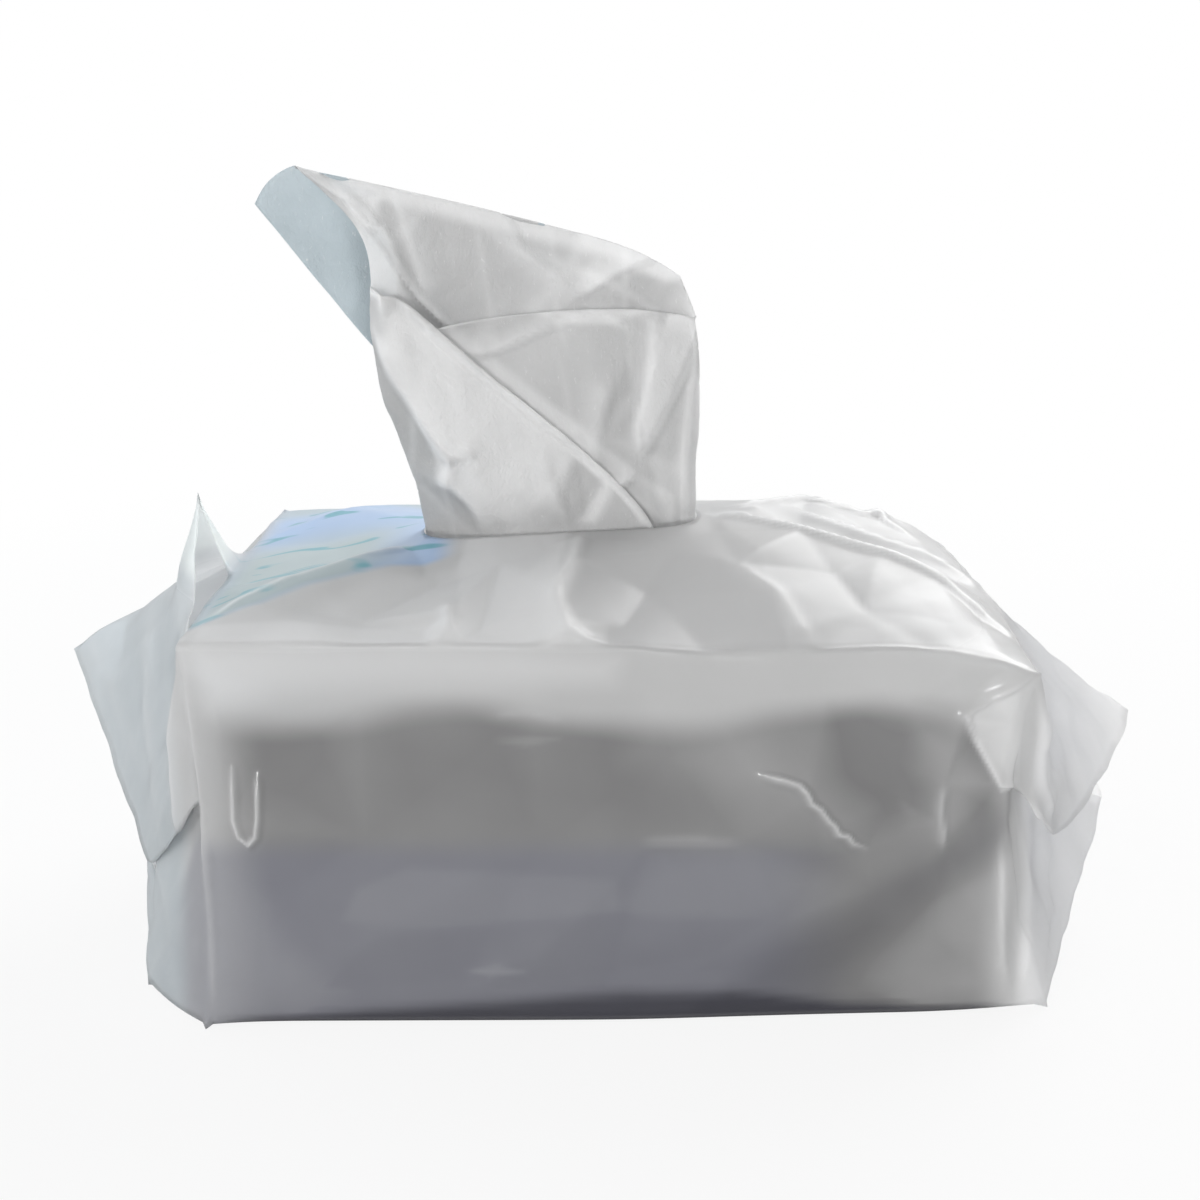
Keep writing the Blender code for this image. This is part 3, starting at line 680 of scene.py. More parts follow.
def body_row(x):
    """Points round the tube at x."""
    front, back, lean = -HALF_DEPTH, HALF_DEPTH, 3.0
    low, belly, fold, waist = (TOP_EDGE * share for share in (0.29, 0.56, 0.65, 0.82))
    foot = along(FRONT_FOOT, end_share(x))
    across = (front * 0.7, front * 0.42, SLOT_FRONT, SLOT_BACK, back * 0.6)
    section = [(front - foot, FLOOR), (front - foot * 0.35 - 0.5, low), (front - 0.8, belly),
               (front - 0.4, fold), (front + 0.3, waist), (front, front_edge(x)),
               *((y, roof(x, y)) for y in across), (back, back_edge(x)), (back - 0.3, waist),
               (back + 0.4, fold), (back + 0.8, belly), (back + lean * 0.5, low), (back + lean, FLOOR),
               (back * 0.35, FLOOR), (front * 0.35, FLOOR)]
    return [(x, y, z) for y, z in section]


def film_rows():
    rows = [end_row(table, True) for table in (LEFT_FREE, LEFT_LOW, LEFT_MIDDLE, LEFT_NEAR, LEFT_END)]
    places = [BODY_LEFT + (SLOT_LEFT - BODY_LEFT) * share for share in (0.25, 0.62)]
    places += [SLOT_LEFT + SLOT_LENGTH * share for share in (0.0, 0.25, 0.5, 0.75, 1.0)]
    places += [SLOT_RIGHT + (BODY_RIGHT - SLOT_RIGHT) * share for share in (0.28, 0.56, 0.8)]
    rows += [body_row(x) for x in places]
    rows += [end_row(table, False) for table in (RIGHT_END, RIGHT_NEAR, RIGHT_MIDDLE, RIGHT_LOW, RIGHT_FREE)]
    return rows


EDGE_SHARP, FOLD_SHARP = 0.85, 0.95
EDGE_STATIONS = (0, 5, 11, 16)
FOLD_STATIONS = (2, 3, 13, 14)
FRONT_TOP, BACK_TOP, SLOT_STATION = 5, 11, 8
MIDDLE_LEFT, NEAR_LEFT, LEFT_END_ROW, SLOT_FIRST, SLOT_LAST, RIGHT_END_ROW = 2, 3, 4, 7, 11, 15


def left_out(row, station):
    """The slot, and the split along the top left edge."""
    slot = station == SLOT_STATION and SLOT_FIRST <= row < SLOT_LAST
    return slot or (row == NEAR_LEFT and FRONT_TOP <= station < SLOT_STATION)


def film_surface(levels):
    cage = Cage()
    net = cage.grid(film_rows(), closed=True, skip=left_out)
    for station in EDGE_STATIONS:
        cage.sharpen([row[station] for row in net], EDGE_SHARP)
    for station in FOLD_STATIONS:
        for rows in (net[:LEFT_END_ROW + 1], net[RIGHT_END_ROW:]):
            cage.sharpen([row[station] for row in rows], FOLD_SHARP)
    for row in (LEFT_END_ROW, RIGHT_END_ROW):
        cage.sharpen(net[row] + net[row][:1], EDGE_SHARP)
        cage.pin(net[row][station] for station in EDGE_STATIONS)
    for row in (net[0], net[-1]):
        cage.pin((row[FRONT_TOP], row[BACK_TOP]))
    ear = net[NEAR_LEFT][SLOT_STATION]
    cage.pin((net[MIDDLE_LEFT][0], ear))
    beside = ((LEFT_END_ROW, SLOT_STATION), (NEAR_LEFT, SLOT_STATION + 1), (MIDDLE_LEFT, SLOT_STATION))
    for row, station in beside:
        cage.sharpen((ear, net[row][station]), FOLD_SHARP)
    return cage.surface("film", levels)


def refine(mesh, wanted):
    """Cut faces in four where wanted(centres in mm, normals) is true."""
    work = bmesh.new()
    work.from_mesh(mesh)
    centres = np.array([face.calc_center_median() for face in work.faces]) / MM
    normals = np.array([face.normal for face in work.faces])
    edges = list({edge for face, cut in zip(work.faces, wanted(centres, normals)) if cut
                  for edge in face.edges})
    bmesh.ops.subdivide_edges(work, edges=edges, cuts=1, use_grid_fill=True)
    work.to_mesh(mesh)
    work.free()


# Creases of the film, in millimetres. A facet table gives points (across, up or back, height) of a
# crumpled sheet that is flat between them. A crease is a line of points, its height, its width and the side
# on which it slopes away gently. A shade is a patch of painted light (strength above 0) or painted shade
# (below 0): an outline, the softness of its edge and its strength.

FRONT_FACETS = [
    (-100, -2, 0), (-100, 45, 0), (-100, 96, 0), (-50, 96, 0), (0, 96, 0), (40, 96, 0), (94, 96, 0),
    (94, 45, 0), (94, -2, 0), (-50, -2, 0), (0, -2, 0), (40, -2, 0),
    (-92, 80, 0.8), (-91, 50, 1.1), (-92, 20, 0.6), (-84, 62, -0.4), (-84, 30, -0.2),
    (-60, 78, 0.7), (-20, 80, 0.2), (20, 76, 0.9), (45, 82, 0.2), (62, 80, 1.2),
    (-70, 70, -0.4), (-30, 71, -0.5), (10, 66, -0.3), (55, 68, -0.7),
    (-60, 46, 0.6), (-20, 45, 0.3), (5, 45, 0.7), (26, 45, 0.6),
    (30, 62, 1.8), (41, 58, 2.2), (48, 50, 2.0), (55, 44, 1.2), (62, 56, -0.6), (52, 64, -0.4),
    (72, 60, 1.4), (72, 50, 1.3), (74, 42, 0.8),
    (88, 84, 0.7), (86, 74, 1.6), (78, 70, -0.4), (75, 76, 1.3), (79, 82, -0.3), (84, 60, 1.6), (82, 54, 0.2),
    (90, 48, 1.0), (15, 14, 0.4), (36, 25, 0.6), (57, 34, 0.9), (86, 43, 1.2), (40, 10, -0.8), (70, 20, -1.0),
    (88, 20, 2.0), (86, 10, 0.4), (20, 34, 0.2), (45, 40, -0.2),
    (-60, 22, 0.9), (-20, 17, 1.1), (-85, 8, 0.4), (-40, 8, 0.2), (-5, 8, -0.3)]
TOP_FACETS = [
    (-102, -60, 0), (-60, -60, 0), (-42, -60, 0.3), (-16, -60, 0), (20, -60, 0), (40, -60, 0), (70, -60, 0),
    (95, -60, 0), (95, -20, 0.8), (95, 0, 0.5), (95, 30, 0.8), (95, 60, 0), (60, 60, 0), (25, 60, 0),
    (-10, 60, 0), (-50, 60, 0), (-102, 60, 0), (-102, 20, 0), (-102, -20, 0),
    (-54, -9.5, 0), (-54, 14.5, 0), (22, -9.5, 0), (22, 14.5, 0), (-35, -9.5, 0), (-10, -9.5, 0), (5, -9.5, 0),
    (-16, 14.5, 0), (-88, -40, 1.4), (-76, -33, 2.4), (-62, -22, 2.0), (-45, -30, -1.2), (-30, -24, 0.2),
    (-60, -46, -1.0), (-40, -47, 1.6), (-46, -52, -0.5), (-33, -51, -0.6),
    (-11, -28, 1.8), (-16, -42, 2.6), (-13, -52, 1.4), (5, -35, -1.2), (12, -20, 0.2), (0, -48, -0.6),
    (27, -28, 1.1), (36, -40, 1.4), (40, -51, 0.8), (55, -42, -0.9), (75, -45, 0.3), (50, -26, -0.5),
    (30, -2, 1.6), (44, -9, 2.4), (63, -16, 2.6), (76, -20, 2.0), (60, -4, -0.9), (45, 4, -0.7), (80, -8, 0.2),
    (36, 14, 1.2), (50, 27, 2.2), (65, 24, 1.8), (79, 32, 2.0), (66, 8, 1.4), (78, 6, 1.6),
    (62, 40, -1.0), (40, 42, 0.6), (75, 48, 0.8), (-20, 35, 1.0), (-50, 35, -0.6), (10, 30, -0.5),
    (-75, 34, 2.0), (-60, 20, 0.5), (-80, 10, -0.5), (-85, 48, 0.3), (-70, -8, -0.8)]
FRONT_CREASES = [
    ([(-89.2, 63.3), (-89.6, 51), (-88.6, 46.6), (-86.6, 44.7), (-84.9, 46.6), (-84.2, 51), (-83.9, 61.6)],
      1.2, 2, 0),
    ([(30.5, 62.6), (35.3, 61.6), (39.2, 60.4), (41.2, 58.2), (42.3, 55.6), (44.4, 54.2), (46.3, 51.4),
      (47.6, 50.4), (48.8, 48), (50.9, 47.5), (52.3, 45.4), (54.6, 44.4)], 1.2, 2.8, -1),
    ([(3.9, 45.2), (25.7, 45.2)], 0.5, 2, 0),
    ([(72.3, 59.1), (71.9, 53.1), (73.3, 44.1)], 0.7, 3, -1),
    ([(78.4, 70.5), (84.5, 59.5), (88, 59)], 0.9, 2.5, 1),
    ([(92, 85.5), (76, 76.5), (78.4, 70.5)], 0.9, 2.5, -1),
    ([(86, 44), (87, 30), (88.5, 14), (94, 2)], 1.2, 6, 1),
    ([(-30, 76), (-22, 77), (-14, 75)], 0.3, 4, 0)]
FRONT_SHADES = [
    ([(-97, 93), (-33, 92), (-2, 89), (-4, 84), (-45, 83), (-78, 82), (-93, 78)], 5, 0.8),
    ([(21, 5), (36, 19), (58, 35), (88, 54), (90, 44), (71, 33), (55, 16), (45, -1), (16, -2)], 5, -0.28),
    ([(59, 10), (73, 30), (90, 45), (94, 16), (103, -1), (66, -1)], 6, 0.15),
    ([(65, 74), (74, 70), (81, 62), (76, 47), (70, 42), (71, 57)], 4, 0.14),
    ([(-97, 46), (-90, 44), (-80, 20), (-66, 9), (-74, 2), (-97, 2)], 5, 0.07),
    ([(-62, 34), (-50, 39), (-2, 36), (-2, 28), (-45, 24), (-66, 26)], 1.2, 0.045),
    ([(-58, 22), (-2, 27), (32, 26), (20, 17), (-10, 12), (-70, 10)], 1, -0.05),
    ([(-38, 14), (-30, 15.5), (-23, 13.5), (-32, 12)], 1, 0.14),
    ([(-30, 70), (-22, 71), (-15, 70.5), (-23, 68.5)], 0.8, 0.1),
    ([(5, 20), (30, 26), (46, 35), (30, 42), (8, 41), (-2, 30)], 4, 0.05),
    ([(92, 85), (76, 76), (78, 70), (85, 58), (88, 59), (98, 47), (95, 67)], 0.8, 0.7),
    ([(4, 79), (12, 70), (30, 72), (36, 62), (22, 57), (0, 65)], 6, 0.08),
    # Painted shadow along the foot of the front
    ([(-84, -1), (-74, 2), (-60, 4), (-30, 6), (0, 8), (25, 7.5), (45, 4.5), (62, 3.5), (80, 0), (80, -5),
      (-84, -5)], 2.2, -0.95)]
TOP_SHADES = [
    ([(-12, 20), (-14, -10), (-16, -32), (-14, -50), (-4, -65), (-36, -63), (-40, -21), (-38, 14)], 0.8,
      0.95),
    ([(-84, -59), (-60, -30), (-35, -21), (-36, -63)], 5, 0.5),
    ([(-96, -60), (-5, -60), (-5, -50), (-96, -49)], 1.2, 0.5),
    ([(-12, 20), (10, 26), (32, -21), (37, -67), (-3, -68), (-14, -50), (-16, -32), (-14, -10)], 0.8, -0.16),
    ([(32, -21), (60, -28), (84, -45), (60, -60), (37, -67)], 3, -0.13)]
CORNER_CREASES = [
    ([(-98, 91), (-97.5, 60), (-97, 30), (-96.5, 3)], 0.5, 2.8, 0),
    ([(-99, 92.6), (-60, 93), (-20, 92)], 0.7, 1.8, 0),
    ([(44, 92.6), (62, 92.2), (92, 85.5)], 0.4, 2.4, 0)]
FLAP_CREASES = [
    # The first line is a painted highlight: a glint near the tip of the left flap
    ([(-137.5, 93), (-135, 84)], 0.9, 4, 0),
    ([(-103.5, 92), (-104, 70), (-105, 44)], 1.8, 5, 1),
    ([(-124, 84), (-118, 62), (-112, 46)], 0.4, 9, 1),
    ([(92, 86), (95, 70), (97, 58), (103, 40)], 1.8, 6, 1),
    ([(104, 74), (112, 62), (124, 56)], 1.4, 6, -1),
    ([(93, 44), (95, 24), (95, 6)], 1.8, 5, 1),
    ([(104, 36), (102, 20), (98, 8)], 1.2, 6, -1)]
TOP_CREASES = [
    ([(19.7, 2), (27.8, -0.4), (43.3, -8.5), (62.9, -16.7), (74.9, -22), (90, -38)], 1.4, 8, 1),
    ([(-94.7, -45.7), (-88.5, -38), (-75.8, -30), (-62, -20), (-52, -10)], 0.9, 6, 1),
    ([(-10, -9.6), (-12.2, -28.4), (-15.7, -38.9), (-16, -44.5), (-13.3, -53.2), (-3.1, -57)], 1.5, 9, -1),
    ([(27.1, -28.4), (35.1, -38.1), (39.8, -53.5)], 0.6, 8, -1),
    ([(-42, -44), (-38.3, -56)], 1.2, 5, 1),
    ([(28.8, 10.3), (49.2, 27.1), (65.4, 24), (77.7, 29.5)], 1.6, 7, 1),
    ([(44.3, 17.7), (63.7, 6.3), (88.6, 0.4)], 1.3, 6, -1),
    ([(58, 50), (66, 30), (76, 14)], 1.4, 6, 1)]


def facet_field(flat, table):
    """Height over a sheet that is flat between the points of a table."""
    spots = [Vector(point[:2]) for point in table]
    heights = np.array([point[2] for point in table], float)
    corners, faces = geometry.delaunay_2d_cdt(spots, [], [], 0, 0.001)[:3:2]
    result = np.zeros(len(flat))
    for face in faces:
        a, b, c = (np.array(corners[k]) for k in face)
        turn = (b[0] - a[0]) * (c[1] - a[1]) - (b[1] - a[1]) * (c[0] - a[0])
        u = ((flat[:, 0] - a[0]) * (c[1] - a[1]) - (flat[:, 1] - a[1]) * (c[0] - a[0])) / turn
        v = ((b[0] - a[0]) * (flat[:, 1] - a[1]) - (b[1] - a[1]) * (flat[:, 0] - a[0])) / turn
        inside = (u >= 0) & (v >= 0) & (u + v <= 1)
        level = heights[face[0]] * (1 - u - v) + heights[face[1]] * u + heights[face[2]] * v
        result = np.where(inside, level, result)
    return result


def crumpled(points, size, seed):
    """Folded-sheet noise, and how near each point is to one of its creases, which wander."""
    warp = rolling(points, size * 1.7, seed, 1) * size * 0.35
    total = np.zeros(len(points))
    crest_highlight = np.zeros(len(points))
    for k, (dx, dy, dz) in enumerate(((1.0, 0.35, 0.2), (-0.4, 1.0, 0.5), (0.3, -0.5, 1.0))):
        wave = (points @ np.array([dx, dy, dz]) + warp * (k - 1.2)) / size + seed * 0.37 + k * 0.29
        tooth = np.abs((wave % 1.0) * 2.0 - 1.0)
        total += tooth - 0.5
        crest_highlight = np.maximum(crest_highlight, step(tooth, 1.0 - 3.0 / size, 1.0))
    return total / 1.5, crest_highlight


def broad_faces(centres, normals):
    """The front and the top between the ends."""
    top = (normals[:, 2] > 0.8) & (centres[:, 2] > 80.0)
    return (np.abs(centres[:, 0]) < 96.0) & (top | (normals[:, 1] < -0.8))


def creased_faces(centres, normals):
    """Faces of the front that lie at one of its narrow creases."""
    near = np.zeros(len(centres), bool)
    for crease in FRONT_CREASES[:2] + CORNER_CREASES[:1]:
        near |= fold_line(centres[:, [0, 2]], crease[0], 1.0, 3.0) > 0
    return near & (normals[:, 1] < -0.7)


def wrinkle_film(mesh):
    """Move the film in and out: soft swells, crinkles toward the ends, and the facets above."""
    points, normals = points_of(mesh)
    x, y, z = points.T
    # How much each point belongs to a region, 0 to 1
    ends = step(np.abs(x + 3.0), 88.0, 106.0)
    right = step(x, 40.0, 95.0)
    calm = np.where(x < 0.0, 0.45, 0.8)
    forward = step(-normals[:, 1], 0.3, 0.7)
    front = step(-normals[:, 1], 0.6, 0.85) * (1.0 - step(np.abs(x + 3.5), 90.0, 97.0))
    flap = ends * step(-normals[:, 1], 0.1, 0.4)
    top = step(normals[:, 2], 0.6, 0.85) * step(z, 80.0, 86.0) * (1.0 - step(np.abs(x + 3.5), 92.0, 99.0))
    broad, broad_crest = crumpled(points, 26.0, 2)
    small, small_crest = crumpled(points, 12.0, 3)
    move = 0.6 * rolling(points, 46.0, 1) * (1.0 + 0.8 * ends)
    move += broad * (0.25 + 1.6 * ends * calm)
    move += small * (0.06 + 0.7 * ends * calm + 0.3 * right)
    # Painted highlights on the crinkles toward the ends
    crest_highlight = 0.4 * ends * calm * np.maximum(broad_crest, small_crest * 0.5)
    lift = front * facet_field(points[:, [0, 2]], FRONT_FACETS)
    lift += top * facet_field(points[:, [0, 1]], TOP_FACETS) * 1.5
    # Lift along each crease, and a painted highlight along it
    for where, plane, creases in ((front, [0, 2], FRONT_CREASES), (flap, [0, 2], FLAP_CREASES),
                                  (forward, [0, 2], CORNER_CREASES), (top, [0, 1], TOP_CREASES)):
        for line, height, width, side in creases:
            lift += where * fold_line(points[:, plane], line, height, width, side)
            crest_highlight += where * fold_line(points[:, plane], line, min(1.0, height * 0.7), width * 0.6, side)
    # The film stays in place at the slot's rim and on the floor
    reach = np.hypot(np.maximum(0.0, np.abs(x - SLOT_CENTRE) - SLOT_LENGTH / 2),
                     np.maximum(0.0, np.abs(y - 2.5) - 12.0))
    hole = np.where(z > 96.0, 0.2 + 0.8 * np.minimum(1.0, reach / 6.0), 1.0)
    # Painted light and shade on the front and the top, kept at each point for the material
    shade = front * shade_field(points[:, [0, 2]], FRONT_SHADES)
    shade += top * shade_field(points[:, [0, 1]], TOP_SHADES)
    keep_values(mesh, "shade", 0.5 + shade * 0.5)
    write_points(mesh, points + normals * ((move + lift) * step(z, 0.3, 8.0) * hole)[:, None])
    keep_values(mesh, "crease", crest_highlight)
    keep_values(mesh, "lift", (move + lift + 1.0) / 5.0)


def make_film(settings):
    mesh = film_surface(settings.detail)
    refine(mesh, broad_faces)
    refine(mesh, creased_faces)
    wrinkle_film(mesh)
    return new_piece("film", mesh, film_finish(settings), "film_wrapper", settings.thickness)


# Stack of folded wipes

def make_stack(settings):
    """The block of interfolded wipes: rounded folds along its sides, ragged cut edges at its ends."""
    half_x, half_y, corner = STACK_LENGTH / 2, STACK_DEPTH / 2, 5.0
    side = [(-half_x, -half_y + corner), (-half_x + 1.5, -half_y + 1.5), (-half_x + corner, -half_y)]
    side += [(half_x * share, -half_y) for share in np.linspace(-0.88, 0.88, 23)]
    side += [(half_x - corner, -half_y), (half_x - 1.5, -half_y + 1.5), (half_x, -half_y + corner)]
    side += [(half_x, share * (half_y - corner)) for share in (-0.7, -0.35, 0.0)]
    outline = side + [(-x, -y) for x, y in side]
    base = STACK_LOW.z / MM
    rows = []
    for layer in range(settings.layers):
        for share, inset in ((0.0, 0.65), (0.3, 0.1), (0.7, 0.1)):
            level = (layer + share) / settings.layers
            row = []
            for x, y in outline:
                drift = noise.noise(Vector((x / 40.0, y / 40.0, layer * 3.7)))
                keep = 1.0 - (inset + 0.35 + 0.35 * drift) / half_y
                row.append((x * (1.0 - (inset + 0.5 + 0.5 * drift) / half_x), y * keep,
                            blend(base, stack_top(x), level)))
            rows.append(row)
    rows.append([(x * 0.985, y * 0.975, stack_top(x)) for x, y in outline])
    cage = Cage()
    net = cage.grid(rows, closed=True)
    for ring in (net[0], net[-1]):
        across = list(zip(ring[:len(side)], reversed(ring[len(side):])))
        for (a, b), (c, d) in zip(across, across[1:]):
            cage.mesh.faces.new((a, c, d, b))
    return new_piece("stack", cage.surface("stack", 0), stack_finish(settings), "wipe_stack")


NEXT_SHARP = 0.6


def make_next_wipe(settings):
    """The top wipe, folded in two round the foot of the drawn one."""
    gap = SHEET + CLEARANCE
    far = STACK_DEPTH / 2 - 5.0
    section = [(-far, 1), (-far * 0.3, 1), (far * 0.3, 1), (far - 1.5, 1), (far, 2), (far - 1.5, 3),
               (far * 0.65, 3), (SLOT_BACK + 10.0, 3.4)]
    side = STACK_LENGTH / 2 - 6.0
    rows = []
    for share in np.linspace(-1.0, 1.0, 9):
        x = side * share
        rows.append([(x, y, stack_top(x) + CLEARANCE + SHEET / 2 + gap * (layer - 1)) for y, layer in section])
    cage = Cage()
    net = cage.grid(rows)
    cage.sharpen([row[4] for row in net], NEXT_SHARP)
    mesh = cage.surface("next", 3)
    points = points_of(mesh)[0]
    points[:, 2] += 0.12 * rolling(points, 18.0, 6)
    write_points(mesh, points)
    fabric = fabric_finish("next_fabric", settings.colour, settings.glow)
    return new_piece("next", mesh, fabric, "next_wipe", settings.thickness)


# Drawn wipe. The foot's rows are (y, left, right), the slot's rows have a height too, and the others are
# points (x, y, height). Heights are shares of WIPE_RISE above the slot's left lip. The front panel is folded
# in from the left edge, over the middle one, which is folded in from the right edge.

FOOT_ROWS = [(42, -62, 34), (21, -61, 32), (9, -58, 29)]
SLOT_ROWS = [(3.5, -53, 22, -0.235), (2, -51, 19, -0.11), (1.5, -50.5, 18.2, 0.01)]
BACK_ROWS = [
    [(-55.5, 1, 0.22), (-43, 2.5, 0.23), (-30, 2.2, 0.24), (-17, 3, 0.24), (-4, 2.4, 0.25), (8, 2.5, 0.25),
     (18.6, 0.5, 0.26)],
    [(-62.6, 0.5, 0.51), (-48, 3, 0.52), (-34, 3, 0.52), (-19, 2.8, 0.52), (-5, 3, 0.52), (9, 2.2, 0.51),
     (19.9, -0.5, 0.5)],
    [(-61.5, 0, 0.68), (-50, 3, 0.7), (-36, 4, 0.69), (-20, 3.4, 0.67), (-6, 3.2, 0.65), (8, 2, 0.62),
     (17.6, -0.5, 0.6)],
    [(-62, 3.5, 0.83), (-53, 4.5, 0.83), (-38, 4.8, 0.8), (-22, 4.2, 0.76), (-7, 3.6, 0.72), (6.5, 2.2, 0.68),
     (15.5, 0, 0.655)],
    [(-80.1, 9, 0.99), (-62, 7.6, 0.95), (-45, 6.4, 0.91), (-28.5, 5.2, 0.87), (-11, 4.2, 0.82),
     (3.6, 2.8, 0.778), (13.3, 0.5, 0.71)]]
FRONT_ROWS = [
    [(-38, -5.2, -0.1), (-16, -6.6, -0.1), (8, -6.4, -0.08)],
    [(-37.5, -5.6, 0.01), (-15.5, -7, 0.02), (10, -6.6, 0.04)],
    [(-44, -7.6, 0.2), (-29, -9.6, 0.2), (-12.5, -7.4, 0.28)],
    [(-56, -6.8, 0.48), (-47.5, -8.4, 0.49), (-36.5, -6.4, 0.485)],
    [(-59.8, -4.4, 0.68), (-57.4, -5.6, 0.66), (-53.8, -5.4, 0.67)]]
MIDDLE_ROWS = [
    [(10, -2.6, -0.08), (-12, -2.9, -0.1), (-34, -2.1, -0.1)],
    [(10.5, -2.8, 0.03), (-11.5, -3, 0.02), (-33.5, -2.2, 0.01)],
    [(9, -5.6, 0.25), (-10, -5, 0.24), (-35, -3.4, 0.24)],
    [(10.5, -6, 0.5), (-11, -4.6, 0.51), (-47, -2.6, 0.47)],
    [(8.5, -4.4, 0.625), (-13, -3.2, 0.635), (-56, -1.8, 0.57)]]
CORNER_ROWS = [
    [(-87.6, 11.5, 0.97), (-66, 12.5, 0.875), (-47.5, 11.4, 0.825), (-31, 10.2, 0.775), (-14.5, 8, 0.74)],
    [(-91, 12, 0.91), (-69, 12.6, 0.83), (-51, 11.8, 0.79), (-34, 10.8, 0.76), (-19, 8.8, 0.74)],
    [(-77, 11, 0.71), (-62, 11.6, 0.7), (-50, 11.2, 0.7), (-38, 10.6, 0.7), (-26, 9.2, 0.71)],
    [(-63.5, 9, 0.515), (-55, 9.6, 0.56), (-47, 9.6, 0.59), (-39, 9.6, 0.62), (-31, 9, 0.66)]]


def raised(x, y, rise):
    return (x, y, TOP_EDGE + LIP_LEFT + rise * WIPE_RISE)


def raised_row(row):
    return [raised(*point) for point in row]


def drawn_back():
    """The tall back panel, from its foot between the next wipe's panels up to the slanted top fold."""
    foot_level = CLEARANCE * 2 + SHEET * 1.5
    rows = []
    for y, left, right in FOOT_ROWS:
        places = [blend(left, right, k / 6) for k in range(7)]
        rows.append([(x, y, stack_top(x) + foot_level) for x in places])
    for y, left, right, rise in SLOT_ROWS:
        places = [blend(left, right, k / 6) for k in range(7)]
        rows.append([raised(x, y + 0.7 * math.sin(k * 1.9), rise) for k, x in enumerate(places)])
    return rows + [raised_row(row) for row in BACK_ROWS]


def side_edge(back, column):
    """The free part of the back panel's left or right edge, where a side panel is folded in."""
    return [row[column] for row in back[4:9]]


def side_panel(edge, table):
    return [[point] + raised_row(row) for point, row in zip(edge, table)]


def corner_panel(back):
    """The top corner, turned back over the top fold."""
    return [back[-1][:5]] + [raised_row(row) for row in CORNER_ROWS]


# Panels of the drawn wipe, the line of its top fold (across, up), and the creases and shades (painted light
# and shade) on each panel, as in the film's tables

BACK, FRONT, MIDDLE, CORNER = range(4)
TOP_FOLD = [(-80, 192.1), (-62, 188.5), (-45, 184.9), (-28.5, 181.3), (-11, 176.8)]
WIPE_CREASES = {
    FRONT: [
        ([(-57, 165), (-46.7, 155), (-35, 145.4), (-15.8, 130.8), (-1.1, 118.2), (11, 107.5)], 1.2, 2.4, 0),
        ([(-60, 154), (-56.3, 144.2), (-51.1, 135.7), (-46.5, 128.3), (-41.7, 123.3)], 2.2, 9, 1),
        ([(-48, 125.3), (-42.5, 122.8), (-36, 126.5)], 1.2, 3, 1),
        ([(-42.5, 122.8), (-44.4, 115)], 1.2, 3, 0),
        ([(-48, 117), (-43.2, 117), (-38.3, 112.5), (-34, 104)], 1.8, 9, 1),
        ([(-61.5, 173), (-58, 166), (-57.5, 158)], 2, 4, 0),
        ([(-20, 124), (-14, 106)], 0.7, 5, -1)],
    MIDDLE: [
        ([(7.3, 157), (5.9, 140), (3.9, 123.9)], 2.4, 10, 1),
        ([(3.9, 123.9), (10.8, 138), (17, 152)], 1.8, 8, 1),
        ([(-3.6, 142.5), (-6, 132.6), (-8.5, 120.1)], 1, 8, -1),
        ([(3, 119), (-2.2, 114.9), (-6, 104.5)], 1.8, 4, -1),
        ([(-22.8, 160.8), (-15.6, 156.5), (-6, 158.8), (2, 154.5)], 1, 3.5, 0),
        ([(-38.1, 148.4), (-30.2, 149.8), (-18.5, 155.6)], 1, 6, 1),
        ([(17, 164), (18, 150), (16, 122), (17, 104)], 1.6, 5, 0),
        ([(-53, 152.5), (-38, 156.5), (-20, 159.5), (0, 160), (14, 159.5)], 0.8, 2.2, 0)],
    BACK: [
        ([(-78.7, 191.8), (-67.2, 184.3), (-59.5, 174.9), (-50.4, 161.5), (-41, 152)], 1.6, 2.4, 1),
        ([(-72, 189.5), (-62, 181.5), (-55, 172.5)], 0.8, 1.8, 0),
        ([(-11, 162), (-2, 168), (9.5, 173)], 0.7, 7, 1),
        ([(-55.9, 186.7), (-52, 175.1), (-47.7, 160.8)], 0.9, 8, 1),
        ([(-30, 183.3), (-25.4, 172.8), (-15.8, 165.6)], 0.7, 8, -1),
        ([(12, 172), (17, 165), (18, 150), (17, 130)], 1, 5, 0)]}
